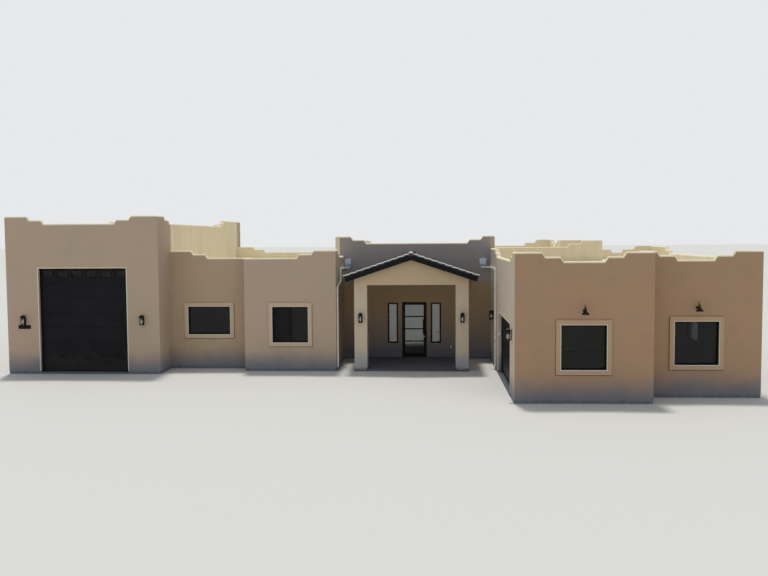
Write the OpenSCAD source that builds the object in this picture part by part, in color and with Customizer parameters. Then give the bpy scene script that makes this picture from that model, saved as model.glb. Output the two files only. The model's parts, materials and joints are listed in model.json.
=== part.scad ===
// Single-storey stucco house in the Pueblo style: stepped parapets, a tall vehicle garage,
// a bedroom block, an entry hall with a gabled porch, and a garage wing with a side entry.
// Front is -Y, the ground is Z = 0, and the origin is the centre of the footprint's box.

/* [Plan, along the front] */
// Width of the tall garage block
tall_w = 6330; // [5800:10:7500]
// Width of the recessed bedroom front
bedroom_w = 3300; // [2900:10:4500]
// Width of the projecting bay beside it
bay_w = 3830; // [3000:10:5000]
// Width of the entry court between the bay and the wing
court_w = 6580; // [6300:10:8000]
// Width of the wing's forward part
wing_w = 4555; // [3600:10:6000]
// Width of the wing's stepped-back part
wing_back_w = 3885; // [3200:10:5500]

/* [Plan, from the wing's front line backwards] */
// Set-back of the wing's second front
wing_back_set = 1120; // [400:10:2000]
// Set-back of the tall garage front
tall_set = 5730; // [4000:10:7000]
// Set-back of the bay front
bay_set = 6560; // [6200:10:8000]
// Set-back of the recessed bedroom front
bedroom_set = 7260; // [6900:10:8800]
// Set-back of the entry wall
entry_set = 10100; // [9800:10:11500]
// Set-back of the hall wall that rises over the wing's roof
hall_front_set = 11840; // [11000:10:13000]
// Set-back of the wing's rear face
wing_rear_set = 14640; // [13500:10:16000]
// Set-back of the bedroom block's rear face
bedroom_rear_set = 20040; // [17000:10:20400]
// Set-back of the hall's rear face
hall_rear_set = 20240; // [17000:10:20600]
// Depth of the tall garage block
tall_d = 14950; // [14900:10:17000]
// Width of the hall's wall over the wing's roof
hall_east_w = 5340; // [4500:10:7500]
// Step back of the hall's right side behind that wall
hall_jog = 1050; // [400:10:1800]
// Depth of the hall's wider part
hall_jog_d = 4500; // [3000:10:6000]
// Lap of the entry wall behind the bay's side wall
hall_lap = 390; // [200:10:800]

/* [Walls and parapets] */
// Thickness of the walls, stucco included
wall_t = 200; // [150:10:300]
// Height of the bare foundation below the stucco
stem_h = 130; // [80:5:200]
// Foundation back from the face of the stucco
stem_in = 15; // [5:1:30]
// Parapet height of the tall garage
tall_h = 6460; // [5800:10:7500]
// Parapet height of the bedroom block and the wing
low_h = 5005; // [4600:10:5200]
// Parapet height of the entry wall
entry_h = 5565; // [5350:10:6000]
// Parapet height of the hall's other walls
hall_h = 5320; // [5250:10:5600]
// Drop of one parapet step
step_rise = 155; // [60:5:200]
// Run of the eased slope of one step
step_run = 160; // [60:10:240]
// Ledge between the two steps
step_ledge = 440; // [200:10:500]
// Full-height length of a parapet beside a corner
corner_len = 880; // [400:10:1000]
// The same at the right corner of the tall garage's front
tall_corner_len = 1060; // [400:10:1300]
// The same at the rear of the tall garage's sides
tall_rear_len = 3800; // [900:10:5000]
// The same at the near ends of the wing's sides
wing_near_len = 600; // [400:10:1000]
// The same at the rear ends of the wing's sides
wing_rear_len = 2600; // [900:10:3200]
// The same where the wing steps back
wing_step_len = 320; // [200:10:800]
// The same at the entry wall's left end
entry_left_len = 660; // [400:10:900]
// The same at the entry wall's right end
entry_right_len = 290; // [200:10:600]
// Roof deck below the top of its parapet
deck_drop = 650; // [450:10:900]
// Thickness of a roof, ceiling included
deck_t = 300; // [200:10:400]
// Roof deck of the hall below the top of its parapet
hall_deck_drop = 900; // [850:10:1000]

/* [Floors] */
// Floor of the house above the ground
floor_h = 100; // [80:5:200]
// Floor of the garages and the porch above the ground
garage_floor_h = 70; // [50:5:75]

/* [Garage doors] */
// Width of the tall door's opening
tall_door_w = 3658; // [3000:1:4200]
// Height of the tall door's opening
tall_door_h = 4267; // [3600:1:4500]
// Width of the side-entry door's opening
side_door_w = 4877; // [3600:1:5200]
// Height of the side-entry door's opening
side_door_h = 2438; // [2100:1:2800]
// Side-entry door's near edge from the wing's front line
side_door_set = 1290; // [900:10:2500]
// Height of one door section
section_h = 610; // [450:1:800]
// Thickness of a sectional door
door_t = 50; // [40:1:80]
// Lap of a sectional door behind the edge of its opening
door_lap = 40; // [20:1:80]
// Width of the joint groove between sections
section_groove = 14; // [6:1:24]
// Number of lites in the tall door's top section
lite_count = 6; // [4:1:8]
// Width of one lite
lite_w = 400; // [250:1:420]
// Height of one lite
lite_h = 260; // [200:1:300]
// Top of the lites below the top of the opening
lite_drop = 110; // [80:5:200]

/* [Windows] */
// Width of the square windows
win_w = 1524; // [1000:1:1800]
// Height of the square windows
win_h = 1524; // [1000:1:1700]
// Width of the bedroom's low window
bedroom_win_w = 1829; // [1200:1:2000]
// Height of the bedroom's low window
bedroom_win_h = 1219; // [900:1:1500]
// Sill of the wing windows
wing_sill = 1105; // [800:5:1300]
// Sill of the bay window
bay_sill = 1175; // [800:5:1300]
// Sill of the bedroom window
bedroom_sill = 1437; // [900:5:1600]
// Centre of the wing's second window from the step
wing_back_win_x = 1710; // [1300:10:2100]
// Width of a window frame's face
frame_w = 50; // [30:1:80]
// Depth of a window frame
frame_d = 80; // [50:1:100]
// Window frame back from the wall's face
frame_recess = 90; // [40:5:100]
// Width of the raised stucco surround
surround_w = 145; // [80:5:250]
// Projection of the raised stucco surround
surround_t = 50; // [20:5:80]
// Thickness of a pane
glass_t = 20; // [12:1:24]

/* [Entry door] */
// Centre of the entry door from the bay's right face
entry_x = 3168; // [2900:10:3200]
// Width of the door opening
door_w = 1110; // [1000:5:1300]
// Height of the door opening above the ground
door_top = 2580; // [2300:5:2700]
// Width of the steel frame's face
jamb_w = 50; // [40:1:70]
// Depth of the steel frame
jamb_d = 130; // [110:1:140]
// Steel frame back from the wall's face
jamb_set = 50; // [30:1:60]
// Thickness of the door leaf
leaf_t = 45; // [38:1:60]
// Running clearance between leaf and frame
leaf_gap = 7; // [7:0.5:9]
// Width of the leaf's stiles and top rail
stile_w = 66; // [50:1:120]
// Height of the leaf's bottom rail
bottom_rail_h = 130; // [80:1:300]
// Height of a bar across the leaf
bar_h = 30; // [20:1:60]
// Number of bars across the leaf
bar_count = 3; // [1:1:4]
// Length of the pull
pull_len = 750; // [400:10:1200]
// Bottom of the pull above the ground
pull_z = 1070; // [700:10:1100]
// Diameter of the pull
pull_dia = 32; // [20:1:40]
// Distance of the pull's axis from the leaf
pull_reach = 60; // [45:1:80]
// Diameter of the hinge pin
hinge_pin = 10; // [8:1:12]
// Outer diameter of the hinge barrel
hinge_dia = 18; // [16:1:20]
// Clearance of the hinge pin in its barrel and between knuckles
hinge_play = 0.3; // [0.2:0.05:0.5]
// Height of one hinge
hinge_h = 120; // [90:5:160]
// Outer hinges from the ends of the leaf
hinge_inset = 200; // [150:10:300]
// Width of a sidelite
sidelite_w = 467; // [300:1:500]
// Height of a sidelite
sidelite_h = 1850; // [1500:10:1850]
// Centre of a sidelite from the centre of the door
sidelite_x = 975; // [930:1:1200]
// Top of the sidelites below the top of the door opening
sidelite_drop = 27; // [0:1:60]

/* [Porch] */
// Centre of the porch left of the centre of the door
porch_shift = 74; // [0:2:100]
// Width of the porch over its columns
porch_w = 4698; // [4400:1:4800]
// Depth of the porch in front of the entry wall
porch_d = 3560; // [3000:10:4000]
// Side of a column
column_w = 530; // [400:5:600]
// Height of the recessed foot of a column
foot_h = 70; // [30:5:120]
// Foot back from the faces of its column
foot_in = 40; // [5:1:60]
// Underside of the porch beam
beam_z = 3562; // [3200:1:3600]
// Thickness of the porch gable and the side beams
beam_t = 300; // [200:10:400]
// Height of the side beams
side_beam_h = 240; // [150:5:240]
// Rise of the roof for a run of 12
roof_pitch = 4; // [3:0.5:4.5]
// Vertical thickness of the porch roof
roof_t = 238; // [150:1:320]
// Overhang beside the columns
eave_over = 380; // [250:10:500]
// Overhang in front of the columns
rake_over = 230; // [100:10:400]
// Thickness of the fascia boards
fascia_t = 25; // [18:1:40]
// Thickness of the roof tiles at a lap
tile_t = 55; // [30:1:80]
// Reach of the lowest tiles past the fascia
tile_over = 50; // [20:5:80]
// Number of tile courses on a slope
tile_courses = 10; // [6:1:14]

/* [Lamps] */
// Centre of the lanterns above the ground
lantern_z = 2230; // [1900:10:2300]
// Height of a lantern's body
lantern_h = 410; // [300:5:450]
// Width of a lantern's body
lantern_w = 160; // [110:5:180]
// Share of a lantern's height that its hood takes
hood_share = 0.3; // [0.2:0.05:0.4]
// Distance of a lantern's axis from the wall
lantern_reach = 130; // [120:5:180]
// Distance of the tall garage's left lantern from the door
tall_lantern_left = 620; // [300:10:700]
// Distance of the tall garage's right lantern from the door
tall_lantern_right = 645; // [300:10:800]
// Centre of the far lantern on the wing's side from the door beside it
wing_lantern_far = 1600; // [600:10:2500]
// Underside of a gooseneck lamp's shade
shade_z = 2975; // [2900:10:3100]
// Diameter of a gooseneck lamp's shade
shade_dia = 260; // [180:5:350]
// Height of the shade with its neck
shade_h = 235; // [180:5:300]
// Distance of the shade's axis from the wall
gooseneck_reach = 270; // [200:5:350]
// Diameter of the gooseneck tube
tube_dia = 16; // [14:1:24]
// Diameter of its round wall plate
rose_dia = 90; // [70:5:150]
// Straight rise of the tube above the bend at its wall plate
rise_h = 80; // [20:5:120]
// Thickness of a lantern's bottom and cap plates
lantern_plate_t = 14; // [8:1:24]
// Thickness of a lantern's wall plate
lantern_back_t = 18; // [10:1:30]
// Width of a lantern's corner posts
post_w = 10; // [6:1:16]
// Clearance between a lantern's glass and its posts
glass_gap = 2; // [1:0.5:4]

/* [Rainwater] */
// Width of a conductor head
head_w = 290; // [240:5:350]
// Height of a conductor head
head_h = 320; // [300:5:400]
// Projection of a conductor head from the wall
head_d = 180; // [120:5:250]
// Underside of a conductor head below the roof that it drains
head_drop = 220; // [160:10:240]
// Thickness of the head's sheet
head_t = 4; // [2:0.5:6]
// Width of the scupper through the parapet behind a head
scupper_w = 200; // [100:10:220]
// Height of a scupper
scupper_h = 70; // [40:5:75]
// Width of a downspout
spout_w = 80; // [50:5:100]
// Projection of a downspout
spout_d = 60; // [40:5:80]
// Height of a downspout's lower end
spout_z = 130; // [80:5:300]
// Left conductor head from the bay's side wall
head_gap_left = 30; // [10:5:200]
// Right conductor head from the wing's side wall
head_gap_right = 190; // [80:5:250]
// Left downspout in front of the entry wall
spout_y_left = 3250; // [2600:10:3400]
// Right downspout in front of the entry wall
spout_y_right = 3030; // [2000:10:3600]
// First drop of the left pipe in front of the entry wall
drop_y_left = 1860; // [1000:10:2200]
// Fall of that first drop
drop_fall_left = 520; // [300:10:900]
// Fall of the slanting run below it
slant_fall_left = 180; // [80:10:400]

/* [Wall plates] */
// Width of the blank address plate
plate_len = 520; // [300:10:600]
// Height of the blank address plate
plate_h = 155; // [100:5:200]
// Gap between the plate and the lantern above it
plate_gap = 10; // [5:5:100]
// Outlet cover from the centre of the entry
outlet_x = 1645; // [1400:5:1680]
// Lower edge of the outlet cover
outlet_z = 480; // [300:10:600]
// Width of the outlet cover
outlet_w = 100; // [70:5:140]
// Height of the outlet cover
outlet_h = 130; // [90:5:180]
// Projection of the outlet cover
outlet_d = 25; // [15:1:60]
// Thickness of the blank address plate
plate_d = 12; // [6:1:25]

/* [Hidden] */
$fn = 48;
cut = 1;
ease_n = 6;

// Plan lines
gooseneck_out = gooseneck_reach + shade_dia / 2;
house_w = tall_w + bedroom_w + bay_w + court_w + wing_w + wing_back_w;
x_tall = -house_w / 2;
x_bedroom = x_tall + tall_w;
x_bay = x_bedroom + bedroom_w;
x_court = x_bay + bay_w;
x_wing = x_court + court_w;
x_wing_back = x_wing + wing_w;
x_end = x_wing_back + wing_back_w;
x_hall_end = x_wing + hall_east_w;
x_hall_rear_end = x_hall_end - hall_jog;
x_hall = x_court - hall_lap;
x_entry = x_court + entry_x;
x_porch = x_entry - porch_shift;
y_front = (gooseneck_out - tall_set - tall_d) / 2;
y_wing_back = y_front + wing_back_set;
y_tall = y_front + tall_set;
y_bay = y_front + bay_set;
y_bedroom = y_front + bedroom_set;
y_entry = y_front + entry_set;
y_hall_front = y_front + hall_front_set;
y_wing_rear = y_front + wing_rear_set;
y_bedroom_rear = y_front + bedroom_rear_set;
y_hall_jog = y_hall_front + hall_jog_d;
y_hall_rear = y_front + hall_rear_set;
y_tall_rear = y_tall + tall_d;
hall_deck_z = hall_h - hall_deck_drop;

// Conductor heads
left_head_x = x_court + head_gap_left + head_w / 2;
right_head_x = x_wing - head_gap_right - head_w / 2;
head_z = hall_deck_z - head_drop;

// Openings
tall_door_x = x_tall + tall_w / 2;
side_door_y = y_front + side_door_set + side_door_w / 2;
door_sill = garage_floor_h + 30;
leaf_w = door_w - 2 * jamb_w - 2 * leaf_gap;
leaf_x = x_entry - leaf_w / 2;
leaf_z = floor_h + 10;
leaf_top = door_top - jamb_w - leaf_gap;
leaf_y = y_entry + jamb_set + jamb_d - leaf_t;
hinge_x = leaf_x - leaf_gap / 2;
hinge_y = leaf_y + leaf_t + hinge_dia / 2 + 3;
plate_t = 4;
plate_w = 45;
sidelite_sill = door_top - sidelite_drop - sidelite_h;

// A window is its wall, the centre of its outer face, the turn of its wall, sill, width, height and sashes.
WINDOWS = [
    ["bedroom_front_wall", (x_bedroom + x_bay) / 2, y_bedroom, 0, bedroom_sill, bedroom_win_w, bedroom_win_h, 1],
    ["bay_front_wall", (x_bay + x_court) / 2, y_bay, 0, bay_sill, win_w, win_h, 2],
    ["wing_front_wall", (x_wing + x_wing_back) / 2, y_front, 0, wing_sill, win_w, win_h, 1],
    ["wing_back_front_wall", x_wing_back + wing_back_win_x, y_wing_back, 0, wing_sill, win_w, win_h, 1],
    ["wing_right_wall", x_end, (y_wing_back + y_wing_rear) / 2, 90, wing_sill, win_w, win_h, 1],
    ["tall_side_walls", x_tall, (y_tall + y_tall_rear) / 2, -90, bedroom_sill, bedroom_win_w, bedroom_win_h, 1],
    for (i = [1, 3]) ["bedroom_rear_wall", x_bedroom + (x_hall - x_bedroom) * i / 4, y_bedroom_rear, 180,
        bay_sill, win_w, win_h, 2],
    for (i = [1, 3, 5]) ["hall_rear_wall", x_hall + (x_hall_rear_end - x_hall) * i / 6, y_hall_rear, 180,
        bay_sill, win_w, win_h, 2]
];
SIDELITES = [
    ["entry_walls", x_entry - sidelite_x, y_entry, 0, sidelite_sill, sidelite_w, sidelite_h, 1],
    ["entry_walls", x_entry + sidelite_x, y_entry, 0, sidelite_sill, sidelite_w, sidelite_h, 1]
];
LANTERNS = [
    [tall_door_x - tall_door_w / 2 - tall_lantern_left, y_tall, 0],
    [tall_door_x + tall_door_w / 2 + tall_lantern_right, y_tall, 0],
    [x_porch - (porch_w - column_w) / 2, y_entry - porch_d, 0],
    [x_porch + (porch_w - column_w) / 2, y_entry - porch_d, 0],
    [x_wing, y_front + side_door_set / 2, -90],
    [x_wing, side_door_y + side_door_w / 2 + wing_lantern_far, -90]
];

// Outline of the whole house on the ground, anticlockwise from its front left corner
FOOTPRINT = [
    [x_tall, y_tall], [x_bedroom, y_tall], [x_bedroom, y_bedroom], [x_bay, y_bedroom], [x_bay, y_bay],
    [x_court, y_bay], [x_court, y_entry], [x_wing, y_entry], [x_wing, y_front], [x_wing_back, y_front],
    [x_wing_back, y_wing_back], [x_end, y_wing_back], [x_end, y_wing_rear], [x_hall_end, y_wing_rear],
    [x_hall_end, y_hall_jog], [x_hall_rear_end, y_hall_jog], [x_hall_rear_end, y_hall_rear],
    [x_hall, y_hall_rear], [x_hall, y_bedroom_rear], [x_bedroom, y_bedroom_rear],
    [x_bedroom, y_tall_rear], [x_tall, y_tall_rear]
];

stucco = [0.78, 0.69, 0.58];
roof_coat = [0.88, 0.84, 0.74];
concrete = [0.72, 0.70, 0.66];
black = [0.10, 0.10, 0.11];
clear = [0.55, 0.65, 0.70, 0.5];

function unit(v) = v / norm(v);
function normal(v) = [-v[1], v[0]];

// Closed outline of right angles moved inwards by d
function inset(p, d) = [
    for (i = [0 : len(p) - 1])
        p[i] + d * (normal(unit(p[i] - p[(i + len(p) - 1) % len(p)])) + normal(unit(p[(i + 1) % len(p)] - p[i])))
];

// Eased slope of one parapet step, as points from [u, v] over the run, with the given rise
function eased(u, v, rise) =
    [for (i = [0 : ease_n]) [u + step_run * i / ease_n, v + rise * (1 - cos(180 * i / ease_n)) / 2]];

// Top line of a wall from u0 to u1: full height h for the lengths full0 and full1 beside its ends, and
// two steps lower between them. A length of 0 leaves that end at the low level.
function parapet(u0, u1, h, full0, full1) = concat(
    full0 == 0 ? [[u0, h - 2 * step_rise]] : concat([[u0, h]],
        eased(u0 + full0, h, -step_rise),
        eased(u0 + full0 + step_run + step_ledge, h - step_rise, -step_rise)),
    full1 == 0 ? [[u1, h - 2 * step_rise]] : concat(
        eased(u1 - full1 - 2 * step_run - step_ledge, h - 2 * step_rise, step_rise),
        eased(u1 - full1 - step_run, h - step_rise, step_rise),
        [[u1, h]]));

function wall_outline(u0, u1, h, full0, full1) = concat([[u0, 0]], parapet(u0, u1, h, full0, full1), [[u1, 0]]);

// Wall along X with its near face at y
module wall_x(x0, x1, y, h, full0 = corner_len, full1 = corner_len)
    translate([0, y + wall_t, 0]) rotate([90, 0, 0]) linear_extrude(wall_t)
        polygon(wall_outline(x0, x1, h, full0, full1));

// Wall along Y with its left face at x
module wall_y(y0, y1, x, h, full0 = corner_len, full1 = corner_len)
    translate([x, 0, 0]) rotate([90, 0, 90]) linear_extrude(wall_t)
        polygon(wall_outline(y0, y1, h, full0, full1));

module box(x0, x1, y0, y1, z0, z1)
    translate([x0, y0, z0]) cube([x1 - x0, y1 - y0, z1 - z0]);

// Places an item at the outer face of its wall, facing -Y before the turn
module on_wall(x, y, turn, z = 0)
    translate([x, y, z]) rotate([0, 0, turn]) children();

// Rectangular ring in the plane of a wall
module ring(w, h, face, depth)
    rotate([90, 0, 0]) linear_extrude(depth) difference() {
        translate([-w / 2, 0]) square([w, h]);
        translate([-w / 2 + face, face]) square([w - 2 * face, h - 2 * face]);
    }

// Cuts the openings of the named wall
module window_cuts(name)
    for (w = concat(WINDOWS, SIDELITES)) if (w[0] == name)
        on_wall(w[1], w[2], w[3], w[4])
            translate([-w[5] / 2, -cut, 0]) cube([w[5], wall_t + 2 * cut, w[6]]);

// Wall with its window openings, and with the foundation set back all round the house
module wall(name)
    color(stucco) difference() {
        children();
        window_cuts(name);
        translate([0, 0, -cut]) linear_extrude(stem_h + cut) difference() {
            polygon(inset(FOOTPRINT, -cut));
            polygon(inset(FOOTPRINT, stem_in));
        }
    }

// Walls of the tall garage
module tall_front_wall() wall("tall_front_wall") difference() {
    wall_x(x_tall, x_bedroom, y_tall, tall_h, corner_len, tall_corner_len);
    box(tall_door_x - tall_door_w / 2, tall_door_x + tall_door_w / 2, y_tall - cut, y_tall + wall_t + cut,
        -cut, garage_floor_h + tall_door_h);
}
module tall_side_walls() wall("tall_side_walls")
    for (x = [x_tall, x_bedroom - wall_t])
        wall_y(y_tall + wall_t, y_tall_rear - wall_t, x, tall_h, corner_len - wall_t, tall_rear_len - wall_t);
module tall_rear_wall() wall("tall_rear_wall") wall_x(x_tall, x_bedroom, y_tall_rear - wall_t, tall_h);

// Walls of the bedroom block
module bedroom_front_wall() wall("bedroom_front_wall")
    wall_x(x_bedroom, x_bay, y_bedroom, low_h, corner_len, 0);
module bay_front_wall() wall("bay_front_wall")
    wall_x(x_bay, x_court, y_bay, low_h, 0, corner_len);
module bay_side_walls() wall("bay_side_walls") {
    box(x_bay, x_bay + wall_t, y_bay + wall_t, y_bedroom + wall_t, 0, low_h - 2 * step_rise);
    wall_y(y_bay + wall_t, y_entry, x_court - wall_t, low_h, corner_len - wall_t, 0);
}
module bedroom_rear_wall() wall("bedroom_rear_wall")
    wall_x(x_bedroom, x_hall, y_bedroom_rear - wall_t, low_h);

// Walls of the hall
module entry_walls() wall("entry_walls") difference() {
    wall_x(x_hall, x_wing, y_entry, entry_h, entry_left_len, entry_right_len);
    box(x_entry - door_w / 2, x_entry + door_w / 2, y_entry - cut, y_entry + wall_t + cut, -cut, entry_h);
    scupper_cuts();
}
module entry_wall_header() color(stucco)
    box(x_entry - door_w / 2, x_entry + door_w / 2, y_entry, y_entry + wall_t, door_top, entry_h - 2 * step_rise);
module hall_left_wall() wall("hall_left_wall")
    wall_y(y_entry + wall_t, y_hall_rear - wall_t, x_hall, hall_h);
module hall_front_wall() wall("hall_front_wall") {
    box(x_wing, x_wing + wall_t, y_entry, y_hall_front + wall_t, 0, entry_h);
    wall_x(x_wing + wall_t, x_hall_end, y_hall_front, hall_h, 0, corner_len);
}
module hall_right_wall() wall("hall_right_wall") {
    wall_y(y_hall_front + wall_t, y_hall_jog, x_hall_end - wall_t, hall_h, corner_len - wall_t, corner_len);
    box(x_hall_rear_end - wall_t, x_hall_end - wall_t, y_hall_jog - wall_t, y_hall_jog, 0, hall_h);
    wall_y(y_hall_jog, y_hall_rear - wall_t, x_hall_rear_end - wall_t, hall_h, corner_len, corner_len - wall_t);
}
module hall_rear_wall() wall("hall_rear_wall")
    wall_x(x_hall, x_hall_rear_end, y_hall_rear - wall_t, hall_h);

// Walls of the wing
module wing_front_wall() wall("wing_front_wall")
    wall_x(x_wing, x_wing_back, y_front, low_h);
module wing_left_wall() wall("wing_left_wall") difference() {
    wall_y(y_front + wall_t, y_entry, x_wing, low_h, wing_near_len - wall_t, wing_rear_len);
    box(x_wing - cut, x_wing + wall_t + cut, side_door_y - side_door_w / 2, side_door_y + side_door_w / 2,
        -cut, garage_floor_h + side_door_h);
}
module wing_back_front_wall() wall("wing_back_front_wall") {
    wall_x(x_wing_back, x_end, y_wing_back, low_h, wing_step_len, corner_len);
    box(x_wing_back - wall_t, x_wing_back, y_front + wall_t, y_wing_back + wall_t, 0, low_h);
}
module wing_right_wall() wall("wing_right_wall")
    wall_y(y_wing_back + wall_t, y_wing_rear - wall_t, x_end - wall_t, low_h,
        wing_near_len - wall_t, wing_rear_len - wall_t);
module wing_rear_wall() wall("wing_rear_wall")
    wall_x(x_hall_end, x_end, y_wing_rear - wall_t, low_h, wing_step_len, corner_len);

// Inside outlines of the four blocks, used by their floors and roofs
module tall_inside()
    translate([x_tall + wall_t, y_tall + wall_t]) square([tall_w - 2 * wall_t, tall_d - 2 * wall_t]);
module bedroom_inside()
    polygon([
        [x_bedroom, y_bedroom + wall_t], [x_bay + wall_t, y_bedroom + wall_t], [x_bay + wall_t, y_bay + wall_t],
        [x_court - wall_t, y_bay + wall_t], [x_court - wall_t, y_entry], [x_hall, y_entry],
        [x_hall, y_bedroom_rear - wall_t], [x_bedroom, y_bedroom_rear - wall_t]
    ]);
module hall_inside()
    polygon([
        [x_hall + wall_t, y_entry + wall_t], [x_wing, y_entry + wall_t], [x_wing, y_hall_front + wall_t],
        [x_hall_end - wall_t, y_hall_front + wall_t], [x_hall_end - wall_t, y_hall_jog - wall_t],
        [x_hall_rear_end - wall_t, y_hall_jog - wall_t], [x_hall_rear_end - wall_t, y_hall_rear - wall_t],
        [x_hall + wall_t, y_hall_rear - wall_t]
    ]);
module wing_inside()
    polygon([
        [x_wing + wall_t, y_front + wall_t], [x_wing_back - wall_t, y_front + wall_t],
        [x_wing_back - wall_t, y_wing_back + wall_t], [x_end - wall_t, y_wing_back + wall_t],
        [x_end - wall_t, y_wing_rear - wall_t], [x_hall_end, y_wing_rear - wall_t],
        [x_hall_end, y_hall_front], [x_wing + wall_t, y_hall_front]
    ]);
module layer(z0, z1) translate([0, 0, z0]) linear_extrude(z1 - z0) children();
module deck(top_z) color(roof_coat) layer(top_z - deck_t, top_z) children();

module tall_floor() color(concrete) layer(0, garage_floor_h) {
    tall_inside();
    translate([tall_door_x - tall_door_w / 2, y_tall]) square([tall_door_w, wall_t]);
}
module bedroom_floor() color(concrete) layer(0, floor_h) bedroom_inside();
module hall_floor() color(concrete) layer(0, floor_h) hall_inside();
module wing_floor() color(concrete) layer(0, garage_floor_h) {
    wing_inside();
    translate([x_wing, side_door_y - side_door_w / 2]) square([wall_t, side_door_w]);
}
module porch_floor() color(concrete) layer(0, garage_floor_h) {
    translate([x_porch - porch_w / 2, y_entry - porch_d]) square([porch_w, porch_d]);
    translate([x_entry - door_w / 2, y_entry]) square([door_w, wall_t]);
}
module tall_roof() deck(tall_h - deck_drop) tall_inside();
module bedroom_roof() deck(low_h - deck_drop) bedroom_inside();
module hall_roof() deck(hall_deck_z) hall_inside();
module wing_roof() deck(low_h - deck_drop) wing_inside();

// Porch
roof_slope = roof_pitch / 12;
ceiling_t = 40;
roof_seat = 0.3;
gable_top = beam_z + side_beam_h + roof_slope * porch_w / 2;
function slope_z(dx, lift) = gable_top + lift - roof_slope * abs(dx);
module along_y(y0, y1) translate([x_porch, y1, 0]) rotate([90, 0, 0]) linear_extrude(y1 - y0) children();

// Point of the eave's end, cut square to the slope through the roof's top edge at half_w
function eave(side, half_w, lift) =
    let (dx = half_w - (roof_t - lift) * roof_slope / (1 + roof_slope * roof_slope)) [side * dx, slope_z(dx, lift)];
module chevron(half_w)
    polygon([
        eave(-1, half_w, roof_seat), [0, slope_z(0, roof_seat)], eave(1, half_w, roof_seat),
        eave(1, half_w, roof_t), [0, slope_z(0, roof_t)], eave(-1, half_w, roof_t)
    ]);
module porch_columns() color(stucco)
    for (side = [-1, 1])
        translate([x_porch + side * (porch_w - column_w) / 2 - column_w / 2, y_entry - porch_d, garage_floor_h]) {
            translate([foot_in, foot_in, 0]) cube([column_w - 2 * foot_in, column_w - 2 * foot_in, foot_h]);
            translate([0, 0, foot_h]) cube([column_w, column_w, beam_z - garage_floor_h - foot_h]);
        }
module porch_gable() color(stucco)
    along_y(y_entry - porch_d, y_entry - porch_d + beam_t) polygon([
        [-porch_w / 2, beam_z], [porch_w / 2, beam_z], [porch_w / 2, beam_z + side_beam_h],
        [0, gable_top], [-porch_w / 2, beam_z + side_beam_h]
    ]);
module porch_side_beams() color(stucco)
    along_y(y_entry - porch_d + beam_t, y_entry) for (side = [-1, 1])
        polygon([
            [side * porch_w / 2, beam_z], [side * porch_w / 2, slope_z(porch_w / 2, 0)],
            [side * (porch_w / 2 - beam_t), slope_z(porch_w / 2 - beam_t, 0)],
            [side * (porch_w / 2 - beam_t), beam_z]
        ]);
module porch_ceiling() color(stucco)
    box(x_porch - porch_w / 2 + beam_t, x_porch + porch_w / 2 - beam_t, y_entry - porch_d + beam_t, y_entry,
        beam_z, beam_z + ceiling_t);
roof_half = porch_w / 2 + eave_over;
y_rake = y_entry - porch_d - rake_over;
module porch_roof() color(black)
    along_y(y_rake + fascia_t, y_entry) chevron(roof_half - fascia_t);
module porch_fascia() color(black) {
    along_y(y_rake, y_rake + fascia_t) chevron(roof_half);
    along_y(y_rake + fascia_t, y_entry) for (side = [-1, 1])
        polygon([
            eave(side, roof_half, roof_seat), eave(side, roof_half, roof_t),
            eave(side, roof_half - fascia_t, roof_t), eave(side, roof_half - fascia_t, roof_seat)
        ]);
}

// Tile courses of one slope, from the eave up, as points [distance from the ridge, height]
tile_half = roof_half + tile_over;
courses = [for (i = [0 : tile_courses - 1], up = [0, 1])
    let (dx = tile_half * (1 - (i + up) / tile_courses)) [dx, slope_z(dx, roof_t + tile_t * (1 - up * 2 / 3))]];
module porch_tiles() color(black)
    along_y(y_rake, y_entry) polygon(concat(
        [[0, slope_z(0, roof_t + roof_seat)], [-tile_half, slope_z(tile_half, roof_t + roof_seat)]],
        [for (c = courses) [-c[0], c[1]]],
        [for (i = [len(courses) - 2 : -1 : 0]) courses[i]],
        [[tile_half, slope_z(tile_half, roof_t + roof_seat)]]));

// Sectional doors: a profile of stacked sections with a joint groove on the outer face
module section_profile(height)
    difference() {
        square([door_t, height]);
        for (z = [section_h : section_h : height - section_groove])
            translate([0, z]) circle(d = section_groove, $fn = 4);
    }
module sectional_door(width, height)
    translate([-width / 2, 0, 0]) rotate([90, 0, 90]) linear_extrude(width) section_profile(height);
module tall_door() color(black)
    on_wall(tall_door_x, y_tall + wall_t, 0, garage_floor_h) difference() {
        sectional_door(tall_door_w + 2 * door_lap, tall_door_h + door_lap);
        lites(-cut, door_t + 2 * cut);
    }
module lites(y, depth)
    for (i = [0 : lite_count - 1])
        translate([(i - (lite_count - 1) / 2) * tall_door_w / lite_count - lite_w / 2, y,
            tall_door_h - lite_drop - lite_h])
            cube([lite_w, depth, lite_h]);
module side_door() color(black)
    on_wall(x_wing + wall_t, side_door_y, -90, garage_floor_h)
        sectional_door(side_door_w + 2 * door_lap, side_door_h + door_lap);

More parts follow.
